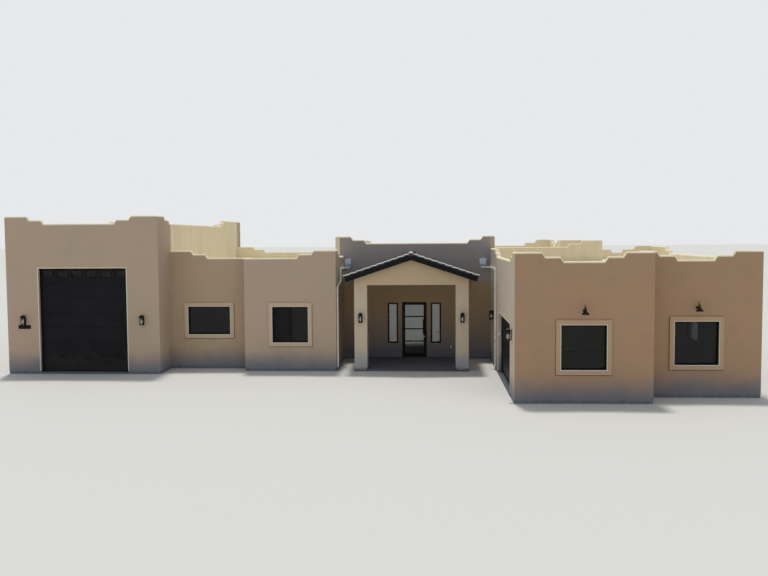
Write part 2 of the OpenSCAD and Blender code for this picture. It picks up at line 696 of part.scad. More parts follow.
// Windows
module window_frame(w, h, sashes)
    translate([0, frame_recess + frame_d, 0]) {
        ring(w, h, frame_w, frame_d);
        if (sashes == 2)
            translate([-frame_w / 2, -frame_d, frame_w]) cube([frame_w, frame_d, h - 2 * frame_w]);
    }
module window_panes(w, h, sashes) {
    pane_w = (w - (sashes + 1) * frame_w) / sashes;
    for (i = [0 : sashes - 1])
        translate([-w / 2 + frame_w + i * (pane_w + frame_w), frame_recess + (frame_d - glass_t) / 2, frame_w])
            cube([pane_w, glass_t, h - 2 * frame_w]);
}
module window_frames() color(black)
    for (w = concat(WINDOWS, SIDELITES)) on_wall(w[1], w[2], w[3], w[4]) window_frame(w[5], w[6], w[7]);
module window_glass() color(clear) {
    for (w = concat(WINDOWS, SIDELITES)) on_wall(w[1], w[2], w[3], w[4]) window_panes(w[5], w[6], w[7]);
    on_wall(tall_door_x, y_tall + wall_t, 0, garage_floor_h) lites((door_t - glass_t) / 2, glass_t);
}
module window_surrounds() color(stucco)
    for (w = WINDOWS)
        on_wall(w[1], w[2], w[3], w[4] - surround_w)
            ring(w[5] + 2 * surround_w, w[6] + 2 * surround_w, surround_w, surround_t);

// Entry door
leaf_h = leaf_top - leaf_z;
bar_pitch = (leaf_h - stile_w - bottom_rail_h + bar_h) / (bar_count + 1);
module entry_door_frame() color(black) {
    translate([x_entry, y_entry + jamb_set + jamb_d, 0]) rotate([90, 0, 0]) linear_extrude(jamb_d) difference() {
        translate([-door_w / 2, garage_floor_h]) square([door_w, door_top - garage_floor_h]);
        translate([-door_w / 2 + jamb_w, door_sill]) square([door_w - 2 * jamb_w, door_top - jamb_w - door_sill]);
    }
    for (z = hinge_zs) {
        frame_knuckle(z);
        frame_knuckle(z + hinge_h * 2 / 3);
        translate([hinge_x, hinge_y, z]) cylinder(d = hinge_pin, h = hinge_h);
    }
}
hinge_zs = [leaf_z + hinge_inset, leaf_z + (leaf_h - hinge_h) / 2, leaf_top - hinge_inset - hinge_h];
module frame_knuckle(z) {
    translate([hinge_x, hinge_y, z]) cylinder(d = hinge_dia, h = hinge_h / 3);
    translate([hinge_x - plate_w, leaf_y + leaf_t, z]) cube([plate_w, plate_t, hinge_h / 3]);
}
module leaf_knuckle(z) {
    z0 = z + hinge_h / 3 + hinge_play;
    h = hinge_h / 3 - 2 * hinge_play;
    difference() {
        union() {
            translate([hinge_x, hinge_y, z0]) cylinder(d = hinge_dia, h = h);
            translate([hinge_x, leaf_y + leaf_t, z0]) cube([plate_w, plate_t, h]);
        }
        translate([hinge_x, hinge_y, z0 - cut])
            cylinder(d = hinge_pin + 2 * hinge_play, h = h + 2 * cut);
    }
}
module entry_door() color(black) {
    translate([leaf_x, leaf_y + leaf_t, leaf_z]) rotate([90, 0, 0]) linear_extrude(leaf_t) difference() {
        square([leaf_w, leaf_h]);
        for (i = [0 : bar_count])
            translate([stile_w, bottom_rail_h + i * bar_pitch]) square([leaf_w - 2 * stile_w, bar_pitch - bar_h]);
    }
    for (z = hinge_zs) leaf_knuckle(z);
}
module entry_door_glass() color(clear)
    for (i = [0 : bar_count])
        translate([leaf_x + stile_w, leaf_y + (leaf_t - glass_t) / 2, leaf_z + bottom_rail_h + i * bar_pitch])
            cube([leaf_w - 2 * stile_w, glass_t, bar_pitch - bar_h]);
module entry_door_pull() color(black)
    translate([leaf_x + leaf_w - stile_w / 2, leaf_y, pull_z]) {
        translate([0, -pull_reach, 0]) cylinder(d = pull_dia, h = pull_len);
        for (z = [0.12, 0.88] * pull_len)
            translate([0, 0, z]) rotate([90, 0, 0]) cylinder(d = pull_dia * 0.6, h = pull_reach);
    }

// Lanterns
cap_h = lantern_h * hood_share;
hood_h = cap_h * 0.7;
cage_h = lantern_h - cap_h - lantern_plate_t;
module lantern_plate(z, h)
    translate([-lantern_w / 2, -lantern_w / 2, z]) cube([lantern_w, lantern_w, h]);
module lantern_frame() {
    translate([-lantern_w * 0.35, -lantern_back_t, -lantern_h / 2])
        cube([lantern_w * 0.7, lantern_back_t, lantern_h * 0.9]);
    translate([0, -lantern_reach, -lantern_h / 2]) {
        lantern_plate(0, lantern_plate_t);
        lantern_plate(lantern_h - cap_h, hood_h);
        translate([0, 0, lantern_h - cap_h + hood_h])
            cylinder(d1 = lantern_w * 0.9, d2 = lantern_w / 4, h = cap_h - hood_h);
        for (sx = [-1, 1], sy = [-1, 1])
            translate([sx, sy, 0] * (lantern_w - post_w) / 2 + [-post_w / 2, -post_w / 2, lantern_plate_t])
                cube([post_w, post_w, cage_h]);
    }
    translate([-post_w, -lantern_reach, lantern_h / 2 - cap_h])
        cube([2 * post_w, lantern_reach, lantern_plate_t]);
}
module lantern_frames() color(black)
    for (l = LANTERNS) on_wall(l[0], l[1], l[2], lantern_z) lantern_frame();
module lantern_glass() color(clear)
    for (l = LANTERNS) on_wall(l[0], l[1], l[2], lantern_z)
        translate([0, -lantern_reach, lantern_plate_t - lantern_h / 2])
            cylinder(d = lantern_w - 2 * post_w - 2 * glass_gap, h = cage_h);

// Gooseneck lamps over the wing windows: the tube leaves its wall plate level, turns up and over,
// and comes down into the neck of the shade
rose_t = 16;
rise_r = tube_dia * 3;
rise_y = rose_t + rise_r;
over_r = (gooseneck_reach - rise_y - rise_r) / 2;
over_z = shade_z + shade_h;
module tube_bend(r, angle) rotate_extrude(angle = angle) translate([r, 0]) circle(d = tube_dia);
module shade()
    rotate_extrude() polygon([
        [shade_dia / 2, 0], [shade_dia / 2, 14], [shade_dia * 0.42, shade_h * 0.15],
        [shade_dia * 0.29, shade_h * 0.31], [shade_dia * 0.18, shade_h * 0.48], [shade_dia * 0.11, shade_h * 0.68],
        [shade_dia * 0.08, shade_h], [0, shade_h], [0, shade_h * 0.6], [shade_dia * 0.15, shade_h * 0.46],
        [shade_dia * 0.265, shade_h * 0.285], [shade_dia * 0.4, shade_h * 0.12], [shade_dia / 2 - 6, 0]
    ]);
module gooseneck() {
    translate([0, 0, over_z - rise_h - rise_r]) rotate([90, 0, 0]) {
        cylinder(d = rose_dia, h = rose_t);
        cylinder(d = tube_dia, h = rise_y);
    }
    translate([0, -rise_y, over_z - rise_h]) rotate([0, -90, 0]) rotate([0, 0, 180]) tube_bend(rise_r, 90);
    translate([0, -rise_y - rise_r, over_z - rise_h]) cylinder(d = tube_dia, h = rise_h);
    translate([0, -rise_y - rise_r - over_r, over_z]) rotate([90, 0, -90]) tube_bend(over_r, 180);
    translate([0, -gooseneck_reach, shade_z]) shade();
}
module gooseneck_lamps() color(black)
    for (w = WINDOWS) if (w[0] == "wing_front_wall" || w[0] == "wing_back_front_wall")
        on_wall(w[1], w[2], 0) gooseneck();

// Rainwater: a tapered head on the entry wall and a downspout on the wall beside it
module head_body(t, top)
    translate([t - head_w / 2, 0, 0]) rotate([90, 0, 90]) linear_extrude(head_w - 2 * t) polygon([
        [-t, t], [t - head_d * 0.55, t], [t - head_d, head_h * 0.35], [t - head_d, top], [-t, top]
    ]);
module conductor_head() difference() {
    head_body(0, head_h);
    head_body(head_t, head_h + cut);
    translate([-scupper_w / 2, -head_t - cut, head_drop]) cube([scupper_w, head_t + 2 * cut, scupper_h]);
}
module scupper_cuts()
    for (x = [left_head_x, right_head_x])
        box(x - scupper_w / 2, x + scupper_w / 2, y_entry - cut, y_entry + wall_t + cut,
            hall_deck_z, hall_deck_z + scupper_h);
module conductor_heads() color([0.55, 0.60, 0.68])
    for (x = [left_head_x, right_head_x]) on_wall(x, y_entry, 0, head_z) conductor_head();

// Band of width w along a path, mitred at its turns
function mitre(p, i, side, w) =
    let (a = normal(unit(p[i] - p[max(i - 1, 0)] + (i == 0 ? p[1] - p[0] : [0, 0]))),
        b = normal(unit(p[min(i + 1, len(p) - 1)] - p[i] + (i == len(p) - 1 ? p[i] - p[i - 1] : [0, 0]))),
        m = unit(a + b))
    p[i] + side * m * w / 2 / (m * a);
function band(p, w) = concat(
    [for (i = [0 : len(p) - 1]) mitre(p, i, 1, w)],
    [for (i = [len(p) - 1 : -1 : 0]) mitre(p, i, -1, w)]);
module spout_path(x, points)
    translate([x, y_entry, 0]) rotate([90, 0, 90]) linear_extrude(spout_d) polygon(band(points, spout_w));
module outlet(x0, x1)
    box(x0, x1, y_entry - spout_w, y_entry, head_z - spout_w, head_z);
run_z = head_z - spout_w / 2;
module downspouts() color([0.93, 0.93, 0.91]) {
    spout_path(x_court, [
        [0, run_z], [-drop_y_left, run_z], [-drop_y_left, run_z - drop_fall_left],
        [-spout_y_left, run_z - drop_fall_left - slant_fall_left], [-spout_y_left, spout_z]
    ]);
    outlet(x_court + spout_d, left_head_x + spout_w);
    spout_path(x_wing - spout_d, [[0, run_z], [-spout_y_right, run_z], [-spout_y_right, spout_z]]);
    outlet(right_head_x - spout_w, x_wing - spout_d);
}

// Blank address plate under the left lantern, and an outlet cover beside the entry
module wall_plates() color(black) {
    on_wall(LANTERNS[0][0], y_tall, 0, lantern_z - lantern_h / 2 - plate_gap - plate_h) translate([-plate_len / 2, -plate_d, 0])
        cube([plate_len, plate_d, plate_h]);
    on_wall(x_entry + outlet_x, y_entry, 0, outlet_z) translate([-outlet_w / 2, -outlet_d, 0])
        cube([outlet_w, outlet_d, outlet_h]);
}

tall_front_wall();
tall_side_walls();
tall_rear_wall();
bedroom_front_wall();
bay_front_wall();
bay_side_walls();
bedroom_rear_wall();
entry_walls();
entry_wall_header();
hall_left_wall();
hall_front_wall();
hall_right_wall();
hall_rear_wall();
wing_front_wall();
wing_left_wall();
wing_back_front_wall();
wing_right_wall();
wing_rear_wall();
tall_floor();
bedroom_floor();
hall_floor();
wing_floor();
porch_floor();
tall_roof();
bedroom_roof();
hall_roof();
wing_roof();
porch_columns();
porch_gable();
porch_side_beams();
porch_ceiling();
porch_roof();
porch_fascia();
porch_tiles();
tall_door();
side_door();
window_frames();
window_glass();
window_surrounds();
entry_door_frame();
entry_door();
entry_door_glass();
entry_door_pull();
lantern_frames();
lantern_glass();
gooseneck_lamps();
conductor_heads();
downspouts();
wall_plates();
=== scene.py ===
"""Looks of the stucco house: materials, roof tiles, trim and small fittings over the fixed CAD model.

All lengths are metres in the model's frame: the front is -Y and the ground is Z = 0.
"""
import json
import math
import random

import bmesh
import bpy
from mathutils import Matrix, Vector
from mathutils.bvhtree import BVHTree


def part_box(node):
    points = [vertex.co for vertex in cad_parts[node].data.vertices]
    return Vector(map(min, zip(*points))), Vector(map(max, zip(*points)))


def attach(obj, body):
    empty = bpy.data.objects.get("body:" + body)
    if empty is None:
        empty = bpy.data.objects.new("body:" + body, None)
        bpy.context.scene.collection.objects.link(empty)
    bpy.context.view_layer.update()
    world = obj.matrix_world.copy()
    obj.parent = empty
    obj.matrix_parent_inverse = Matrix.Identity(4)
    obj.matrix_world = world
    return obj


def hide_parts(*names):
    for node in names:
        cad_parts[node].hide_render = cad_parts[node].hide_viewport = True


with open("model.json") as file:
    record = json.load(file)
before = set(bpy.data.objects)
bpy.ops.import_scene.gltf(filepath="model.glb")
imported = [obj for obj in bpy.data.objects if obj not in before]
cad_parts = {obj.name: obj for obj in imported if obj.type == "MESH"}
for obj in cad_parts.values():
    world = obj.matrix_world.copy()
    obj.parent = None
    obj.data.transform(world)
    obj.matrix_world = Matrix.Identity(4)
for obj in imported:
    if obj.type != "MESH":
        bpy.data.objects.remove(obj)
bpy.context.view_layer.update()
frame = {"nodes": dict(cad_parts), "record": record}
NODES = frame["nodes"]
random.seed(7)


def low(node):
    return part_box(node)[0]


def high(node):
    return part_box(node)[1]


NEAR = 0.01

# Plan lines, read from the CAD nodes
X_TALL, X_BEDROOM = low("tall_front_wall").x, high("tall_front_wall").x
X_BAY, X_COURT = low("bay_front_wall").x, high("bay_front_wall").x
X_HALL, X_WING = low("entry_walls").x, high("entry_walls").x
X_WING_BACK, X_END = high("wing_front_wall").x, high("wing_right_wall").x
X_HALL_END, X_HALL_REAR = high("hall_right_wall").x, high("hall_rear_wall").x
Y_FRONT, Y_TALL = low("wing_front_wall").y, low("tall_front_wall").y
WALL = high("tall_front_wall").y - Y_TALL
Y_WING_BACK = high("wing_back_front_wall").y - WALL
Y_BAY, Y_BEDROOM, Y_ENTRY = (low(n).y for n in ("bay_front_wall", "bedroom_front_wall", "entry_walls"))
Y_HALL_FRONT = high("hall_front_wall").y - WALL
Y_WING_REAR, Y_BEDROOM_REAR = high("wing_rear_wall").y, high("bedroom_rear_wall").y
Y_HALL_REAR, Y_TALL_REAR = high("hall_rear_wall").y, high("tall_rear_wall").y
Y_JOG = max(v.co.y for v in NODES["hall_right_wall"].data.vertices if v.co.x > X_HALL_END - NEAR)
X_PORCH = (low("porch_tiles").x + high("porch_tiles").x) / 2
STEM_H = min(v.co.z for v in NODES["tall_front_wall"].data.vertices if v.co.z > NEAR)
STEM_IN = 0.015

FOOTPRINT = [
    (X_TALL, Y_TALL), (X_BEDROOM, Y_TALL), (X_BEDROOM, Y_BEDROOM), (X_BAY, Y_BEDROOM), (X_BAY, Y_BAY),
    (X_COURT, Y_BAY), (X_COURT, Y_ENTRY), (X_WING, Y_ENTRY), (X_WING, Y_FRONT), (X_WING_BACK, Y_FRONT),
    (X_WING_BACK, Y_WING_BACK), (X_END, Y_WING_BACK), (X_END, Y_WING_REAR), (X_HALL_END, Y_WING_REAR),
    (X_HALL_END, Y_JOG), (X_HALL_REAR, Y_JOG), (X_HALL_REAR, Y_HALL_REAR), (X_HALL, Y_HALL_REAR),
    (X_HALL, Y_BEDROOM_REAR), (X_BEDROOM, Y_BEDROOM_REAR), (X_BEDROOM, Y_TALL_REAR), (X_TALL, Y_TALL_REAR),
]

# Plan rectangles of the roofs inside their parapets: x0, x1, y0, y1
ROOF_AREAS = [
    (X_TALL + WALL, X_BEDROOM - WALL, Y_TALL + WALL, Y_TALL_REAR - WALL),
    (X_BEDROOM, X_HALL, Y_BEDROOM + WALL, Y_BEDROOM_REAR - WALL),
    (X_BAY + WALL, X_COURT - WALL, Y_BAY + WALL, Y_ENTRY),
    (X_HALL + WALL, X_HALL_REAR - WALL, Y_ENTRY + WALL, Y_HALL_REAR - WALL),
    (X_WING, X_HALL_END - WALL, Y_HALL_FRONT + WALL, Y_JOG - WALL),
    (X_WING + WALL, X_WING_BACK - WALL, Y_FRONT + WALL, Y_HALL_FRONT),
    (X_WING + WALL, X_END - WALL, Y_WING_BACK + WALL, Y_HALL_FRONT),
    (X_HALL_END, X_END - WALL, Y_WING_BACK + WALL, Y_WING_REAR - WALL),
]


# Materials

def srgb(red, green, blue):
    """Linear colour with alpha, from sRGB values of 0 to 255."""
    def linear(c):
        c /= 255
        return c / 12.92 if c <= 0.04045 else ((c + 0.055) / 1.055) ** 2.4
    return (linear(red), linear(green), linear(blue), 1.0)


class Nodes:
    """A node tree, with short ways to add to it."""

    def __init__(self, tree):
        self.nodes = tree.nodes
        self.links = tree.links

    def feed(self, node, values):
        """Links a node's inputs to the values that are sockets, and sets those of the others but None."""
        for name, value in values.items():
            if isinstance(value, bpy.types.NodeSocket):
                self.links.new(value, node.inputs[name])
            elif value is not None:
                node.inputs[name].default_value = value

    def add(self, kind, values=None, **settings):
        node = self.nodes.new(kind)
        for name, value in settings.items():
            setattr(node, name, value)
        self.feed(node, values or {})
        return node

    def math(self, operation, a, b=0.0):
        return self.add("ShaderNodeMath", {0: a, 1: b}, operation=operation).outputs[0]


class Paint(Nodes):
    """A material, with short ways to add the nodes that feed its Principled shader."""

    def __init__(self, name, **sockets):
        self.material = bpy.data.materials.new(name)
        self.material.use_nodes = True
        super().__init__(self.material.node_tree)
        self.shader = self.nodes["Principled BSDF"]
        self.feed(self.shader, {socket.replace("_", " "): value for socket, value in sockets.items()})
        self.place = self.add("ShaderNodeTexCoord").outputs["Object"]
        self.normal = None

    def vector(self, operation, a, b):
        return self.add("ShaderNodeVectorMath", {0: a, 1: b}, operation=operation).outputs[0]

    def axis(self, letter, vector=None):
        return self.add("ShaderNodeSeparateXYZ", {0: vector or self.place}).outputs[letter]

    def noise(self, scale, detail=3.0, rough=0.5, stretch=None):
        place = self.vector("MULTIPLY", self.place, stretch) if stretch else self.place
        values = {"Vector": place, "Scale": scale, "Detail": detail, "Roughness": rough}
        return self.add("ShaderNodeTexNoise", values).outputs["Fac"]

    def ramp(self, value, start, end, out=(0.0, 1.0)):
        """value from start to end, eased and held, as out[0] to out[1]."""
        values = {"Value": value, "From Min": start, "From Max": end, "To Min": out[0], "To Max": out[1]}
        return self.add("ShaderNodeMapRange", values, interpolation_type="SMOOTHSTEP").outputs["Result"]

    def patches(self, scale, between=(0.3, 0.7), out=(0.0, 1.0), **settings):
        """A noise that is eased between two of its levels, as out[0] to out[1]."""
        return self.ramp(self.noise(scale, **settings), *between, out)

    def mix(self, a, b, share):
        """Mixes colours, which are sockets or sRGB values of 0 to 255."""
        a, b = (c if isinstance(c, bpy.types.NodeSocket) else srgb(*c) for c in (a, b))
        return self.add("ShaderNodeMix", {0: share, 6: a, 7: b}, data_type="RGBA").outputs[2]

    def bump(self, height, distance, strength=1.0):
        values = {"Height": height, "Distance": distance, "Strength": strength, "Normal": self.normal}
        self.normal = self.add("ShaderNodeBump", values).outputs["Normal"]

    def done(self, colour, roughness=None):
        self.feed(self.shader, {"Base Color": colour, "Roughness": roughness, "Normal": self.normal})
        return self.material


# The main, the warmer and the greyer tone of each stucco
TAN = ((189, 167, 146), (196, 169, 148), (179, 163, 147))
# Painted shade and warm bounce light: the recessed bedroom front
SHADED_RECESS_TAN = ((186, 163, 136), (193, 165, 138), (176, 159, 137))
WING_TAN = ((177, 145, 117), (183, 147, 117), (168, 141, 117))
# Painted shade: a greyer stucco for the shaded entry court
SHADED_COURT_TAN = ((164, 155, 154), (169, 156, 152), (158, 153, 154))
# Painted light: a lighter stucco for the wing's face onto the court
LIT_SIDE_TAN = ((206, 191, 173), (210, 192, 172), (198, 187, 173))
TRIM_TAN = ((210, 194, 172), (214, 195, 171), (202, 190, 172))
GABLE_TAN = ((206, 182, 148), (210, 183, 147), (199, 179, 149))
SURROUND_TAN = ((201, 181, 156), (205, 182, 156), (193, 176, 154))
WING_SURROUND_TAN = ((189, 161, 135), (193, 162, 134), (181, 156, 133))

CREAM = (234, 222, 195)
CREAM_DIRT = (203, 187, 154)
CREAM_DUST = (214, 201, 172)
DUST = (176, 152, 122)
STREAK = (158, 138, 118)
SAND_GRAIN = (208, 187, 162)
# Painted shade: a bluish grey over the foot of walls and of the columns
FOOT_SHADE = (116, 120, 133)
TRIM_FOOT_SHADE = (160, 166, 178)
# Parged foundation: its bluish grey is partly its own colour, partly painted shade
PARGING_AND_SHADE = (120, 124, 136)
PARGING_AND_SHADE_DARK = (105, 109, 121)
# Painted shade under the porch's eaves: darker at the foot, warm painted bounce light at the top
EAVES_SHADE_FOOT = (146, 134, 121)
EAVES_BOUNCE_TOP = (186, 157, 114)

# Heights between which a stucco's colour changes
GABLE_BAND = (2.7, 4.0)
# The next three bands place painted shade: under the eaves, and over the foot of the walls
EAVES_SHADE_BAND = (0.4, 2.9)
EAVES_BAND = (3.8, 3.2)
FOOT_SHADE_BAND = (0.95, 0.0)

# How far out of a face its roof is looked for, and the least rise of the normal of a top
FACE_REACH = 0.05
TOP_RISE = 0.15
COURT_SIDE_X = X_WING + 0.02


def over_roofs(paint):
    """1 where a wall's face looks up, or onto a roof from inside its parapets, else 0."""
    normal = paint.add("ShaderNodeNewGeometry").outputs["True Normal"]
    outwards = paint.vector("MULTIPLY", normal, (FACE_REACH, FACE_REACH, 0.0))
    point = paint.vector("ADD", paint.place, outwards)
    found = 0.0
    for x0, x1, y0, y1 in ROOF_AREAS:
        offset = paint.vector("SUBTRACT", point, ((x0 + x1) / 2, (y0 + y1) / 2, 0))
        distance = paint.vector("ABSOLUTE", offset, (0, 0, 0))
        over = paint.vector("SUBTRACT", distance, ((x1 - x0) / 2, (y1 - y0) / 2, 0))
        outside = paint.math("MAXIMUM", paint.axis("X", over), paint.axis("Y", over))
        found = paint.math("MAXIMUM", found, paint.math("LESS_THAN", outside, 0.0))
    top = paint.math("GREATER_THAN", paint.axis("Z", normal), TOP_RISE)
    return paint.math("MAXIMUM", found, top)


def stucco(name, tones, walls=True, side_tones=None, high_tones=None, painted_eaves_shade=False, foot_shade_tone=FOOT_SHADE):
    """Sand-float stucco. Walls have the roof's cream coating inside the parapets and on tops, a cream that is
    partly painted light off the roof and from the sun, and a parged foundation whose grey is partly painted
    shade.

    side_tones take the place of tones on the wing's court side, and high_tones at the height of the gable.
    The foot's tone is painted shade, a bluish grey over the foot of the wall. Walls under the eaves can take
    painted shade there, darker towards the foot and warm with painted bounce light higher up.
    """
    paint = Paint(name, Roughness=0.92, Specular_IOR_Level=0.25)
    height = paint.axis("Z")
    if side_tones:
        court_side = paint.math("LESS_THAN", paint.axis("X"), COURT_SIDE_X)
        tones = [paint.mix(a, b, court_side) for a, b in zip(tones, side_tones)]
    if high_tones:
        up = paint.ramp(height, *GABLE_BAND)
        tones = [paint.mix(a, b, up) for a, b in zip(tones, high_tones)]
    main, warm, grey = tones
    colour = paint.mix(main, warm, paint.patches(0.32, (0.35, 0.7), (0.0, 0.7), detail=4.0))
    colour = paint.mix(colour, grey, paint.patches(1.7, (0.45, 0.75), (0.0, 0.4), detail=5.0, rough=0.6))
    streaks = paint.noise(1.0, detail=4.0, rough=0.6, stretch=(4.5, 4.5, 0.35))
    colour = paint.mix(colour, STREAK, paint.ramp(streaks, 0.6, 0.82, (0.0, 0.16)))
    grains = paint.noise(310.0, detail=2.0)
    colour = paint.mix(colour, SAND_GRAIN, paint.ramp(grains, 0.6, 0.75, (0.0, 0.3)))
    # painted shade under the eaves, darker at the foot, with warm painted bounce light higher up
    if painted_eaves_shade:
        shade = paint.mix(EAVES_SHADE_FOOT, EAVES_BOUNCE_TOP, paint.ramp(height, *EAVES_SHADE_BAND))
        colour = paint.mix(colour, shade, paint.ramp(height, *EAVES_BAND, (0.0, 0.8)))
    # painted shade: a bluish grey over the foot of the wall, its top uneven
    foot_shade_reach = paint.math("SUBTRACT", height, paint.patches(1.3, out=(0.0, 0.22), detail=4.0))
    colour = paint.mix(colour, foot_shade_tone, paint.ramp(foot_shade_reach, *FOOT_SHADE_BAND, (0.0, 0.85)))
    if walls:
        # cream of the roof's coating inside the parapets and on tops, partly painted bounce light off the
        # roof and painted sunlight on the tops
        runs = paint.patches(1.0, (0.4, 0.8), (0.0, 0.35), stretch=(1.4, 1.4, 0.3))
        coating_and_bounce = paint.mix(CREAM, CREAM_DIRT, runs)
        coating_and_bounce = paint.mix(coating_and_bounce, CREAM_DIRT, paint.ramp(streaks, 0.55, 0.85, (0.0, 0.2)))
        colour = paint.mix(colour, coating_and_bounce, over_roofs(paint))
        # parged foundation, its bluish grey partly painted shade
        parging_and_shade = paint.mix(PARGING_AND_SHADE, PARGING_AND_SHADE_DARK, paint.patches(7.0, (0.35, 0.7), detail=5.0))
        colour = paint.mix(parging_and_shade, colour, paint.math("GREATER_THAN", height, STEM_H - 0.001))
    paint.bump(paint.noise(0.9, detail=2.0), distance=0.012, strength=0.25)
    paint.bump(paint.noise(8.0, rough=0.6, stretch=(1.0, 1.0, 0.6)), distance=0.007, strength=0.9)
    paint.bump(paint.noise(22.0, rough=0.6), distance=0.0016, strength=0.6)
    paint.bump(grains, distance=0.0011, strength=0.8)
    return paint.done(colour, paint.patches(3.0, out=(0.86, 0.96)))


ROOF_SHEET_W = 1.0
SHEET_LAP = 0.02


def roof_coating():
    """Rolled cream coating with dust in its hollows and the laps of the sheets below."""
    paint = Paint("roof_coating_cream", Specular_IOR_Level=0.4)
    colour = paint.mix(CREAM, CREAM_DUST, paint.patches(0.5, (0.35, 0.7), detail=4.0))
    hollows = paint.patches(0.22, (0.5, 0.8), (0.0, 0.45), detail=7.0, rough=0.65)
    colour = paint.mix(colour, CREAM_DIRT, hollows)
    sheet = paint.math("PINGPONG", paint.axis("Y"), ROOF_SHEET_W / 2)
    paint.bump(paint.ramp(sheet, 0.0, SHEET_LAP), distance=0.003, strength=0.6)
    paint.bump(paint.noise(60.0, stretch=(1.0, 0.25, 1.0)), distance=0.0015, strength=0.6)
    return paint.done(colour, paint.patches(1.1, (0.35, 0.7), (0.55, 0.8), detail=4.0))


CROSS_JOINT_Y = Y_ENTRY - 1.8
GROOVE_SIDE = (0.003, 0.008)


def concrete():
    """Broom-finished slab with a joint down the middle of the porch and one across it."""
    paint = Paint("broomed_concrete_painted_shade", Specular_IOR_Level=0.35)
    # painted shade: the slab's grey is darkened and blued for the shade of the porch; the concrete itself is
    # paler
    colour = paint.mix((101, 105, 115), (90, 94, 104), paint.patches(0.8, detail=5.0, rough=0.6))
    colour = paint.mix(colour, (82, 83, 87), paint.patches(90.0, (0.62, 0.8), (0.0, 0.5), detail=2.0))
    joint = paint.math("ABSOLUTE", paint.math("SUBTRACT", paint.axis("X"), X_PORCH))
    cross = paint.math("ABSOLUTE", paint.math("SUBTRACT", paint.axis("Y"), CROSS_JOINT_Y))
    groove = paint.ramp(paint.math("MINIMUM", joint, cross), *GROOVE_SIDE)
    colour = paint.mix((58, 56, 54), colour, groove)
    paint.bump(groove, distance=0.006)
    paint.bump(paint.noise(1.0, rough=0.6, stretch=(6.0, 420.0, 6.0)), distance=0.0012, strength=0.7)
    return paint.done(colour, paint.patches(5.0, out=(0.75, 0.9)))


def roof_tile(name, painted_glint_edge=False):
    """Flat, dusty charcoal tiles, each a little lighter or darker. A painted glint makes the rounded front
    edges near white in patches: a painted highlight.
    """
    paint = Paint(name, Specular_IOR_Level=0.6)
    tone = paint.add("ShaderNodeAttribute", attribute_name="tone").outputs["Fac"]
    colour = paint.mix((36, 36, 39), (62, 61, 63), tone)
    dust = paint.patches(9.0, (0.5, 0.85), (0.0, 0.4), detail=5.0, rough=0.65)
    colour = paint.mix(colour, (112, 100, 88), dust)
    if painted_glint_edge:
        # painted highlight: faces turned forward and up, the rounded edges, go near white in patches
        normal = paint.add("ShaderNodeNewGeometry").outputs["True Normal"]
        forward = paint.math("MULTIPLY", paint.axis("Y", normal), -1.0)
        rounded = paint.ramp(paint.math("MINIMUM", forward, paint.axis("Z", normal)), 0.1, 0.25)
        glint_patches = paint.patches(5.0, (0.2, 0.45), (0.6, 1.0), detail=4.0)
        colour = paint.mix(colour, (236, 236, 238), paint.math("MULTIPLY", rounded, glint_patches))
    paint.bump(paint.noise(160.0), distance=0.0006, strength=0.5)
    paint.bump(paint.noise(1.0, detail=2.0, stretch=(8.0, 90.0, 8.0)), distance=0.001, strength=0.3)
    return paint.done(colour, paint.patches(14.0, out=(0.3, 0.45)))


def painted(name, colour, worn, roughness, metallic=0.0, grain=140.0, dusty=0.25, shine=0.5):
    """Satin paint or powder coat: fine peel, uneven sheen and a little dust."""
    paint = Paint(name, Metallic=metallic, Specular_IOR_Level=shine)
    mixed = paint.mix(colour, worn, paint.patches(3.1, (0.4, 0.8), (0.0, 0.7), detail=5.0, rough=0.6))
    mixed = paint.mix(mixed, DUST, paint.patches(11.0, (0.6, 0.9), (0.0, dusty), detail=5.0, rough=0.65))
    paint.bump(paint.noise(grain, detail=2.0), distance=0.0004, strength=0.5)
    return paint.done(mixed, paint.patches(6.0, out=(roughness - 0.08, roughness + 0.1)))


def garage_paint():
    """Flat black door sections, embossed with fine grain along their length, dusty at the bottom."""
    paint = Paint("garage_black", Specular_IOR_Level=0.14)
    colour = paint.mix((17, 17, 22), (25, 24, 30), paint.patches(0.9, detail=4.0))
    dust = paint.math("SUBTRACT", paint.axis("Z"), paint.patches(3.0, out=(0.0, 0.5), detail=4.0))
    colour = paint.mix(colour, (64, 60, 56), paint.ramp(dust, 0.7, 0.0, (0.0, 0.3)))
    emboss = paint.noise(1.0, detail=4.0, rough=0.6, stretch=(7.0, 7.0, 130.0))
    paint.bump(emboss, distance=0.0012, strength=0.6)
    return paint.done(colour, paint.patches(4.0, out=(0.42, 0.58)))


def glass(name, tint, ior):
    """Slightly wavy glass with a film of dust."""
    paint = Paint(name, Transmission_Weight=1.0, IOR=ior)
    film = paint.noise(2.2, detail=4.0, rough=0.6)
    paint.bump(paint.noise(0.8, detail=1.0), distance=0.0025, strength=0.15)
    colour = paint.mix(tint, (196, 190, 178), paint.ramp(film, 0.55, 0.9, (0.0, 0.12)))
    return paint.done(colour, paint.ramp(film, 0.4, 0.8, (0.0, 0.035)))


def insect_screen():
    """Fine dark mesh, seen as a veil."""
    paint = Paint("insect_screen", Roughness=0.7, Alpha=0.72, Specular_IOR_Level=0.2)
    weave = paint.noise(900.0, detail=1.0)
    return paint.done(paint.mix((20, 20, 22), (40, 41, 43), weave))


STUCCO_WALL = stucco("sand_stucco", TAN)
# the wing's face onto the court takes the lighter side tones: painted light
STUCCO_WING = stucco("sand_stucco_warm", WING_TAN, side_tones=LIT_SIDE_TAN)
# recessed bedroom front: painted shade and warm bounce light
STUCCO_RECESS_SHADE = stucco("sand_stucco_recess_painted_shade", SHADED_RECESS_TAN)
# the wing's left face: painted light
STUCCO_LIT_SIDE = stucco("sand_stucco_side_painted_light", LIT_SIDE_TAN)
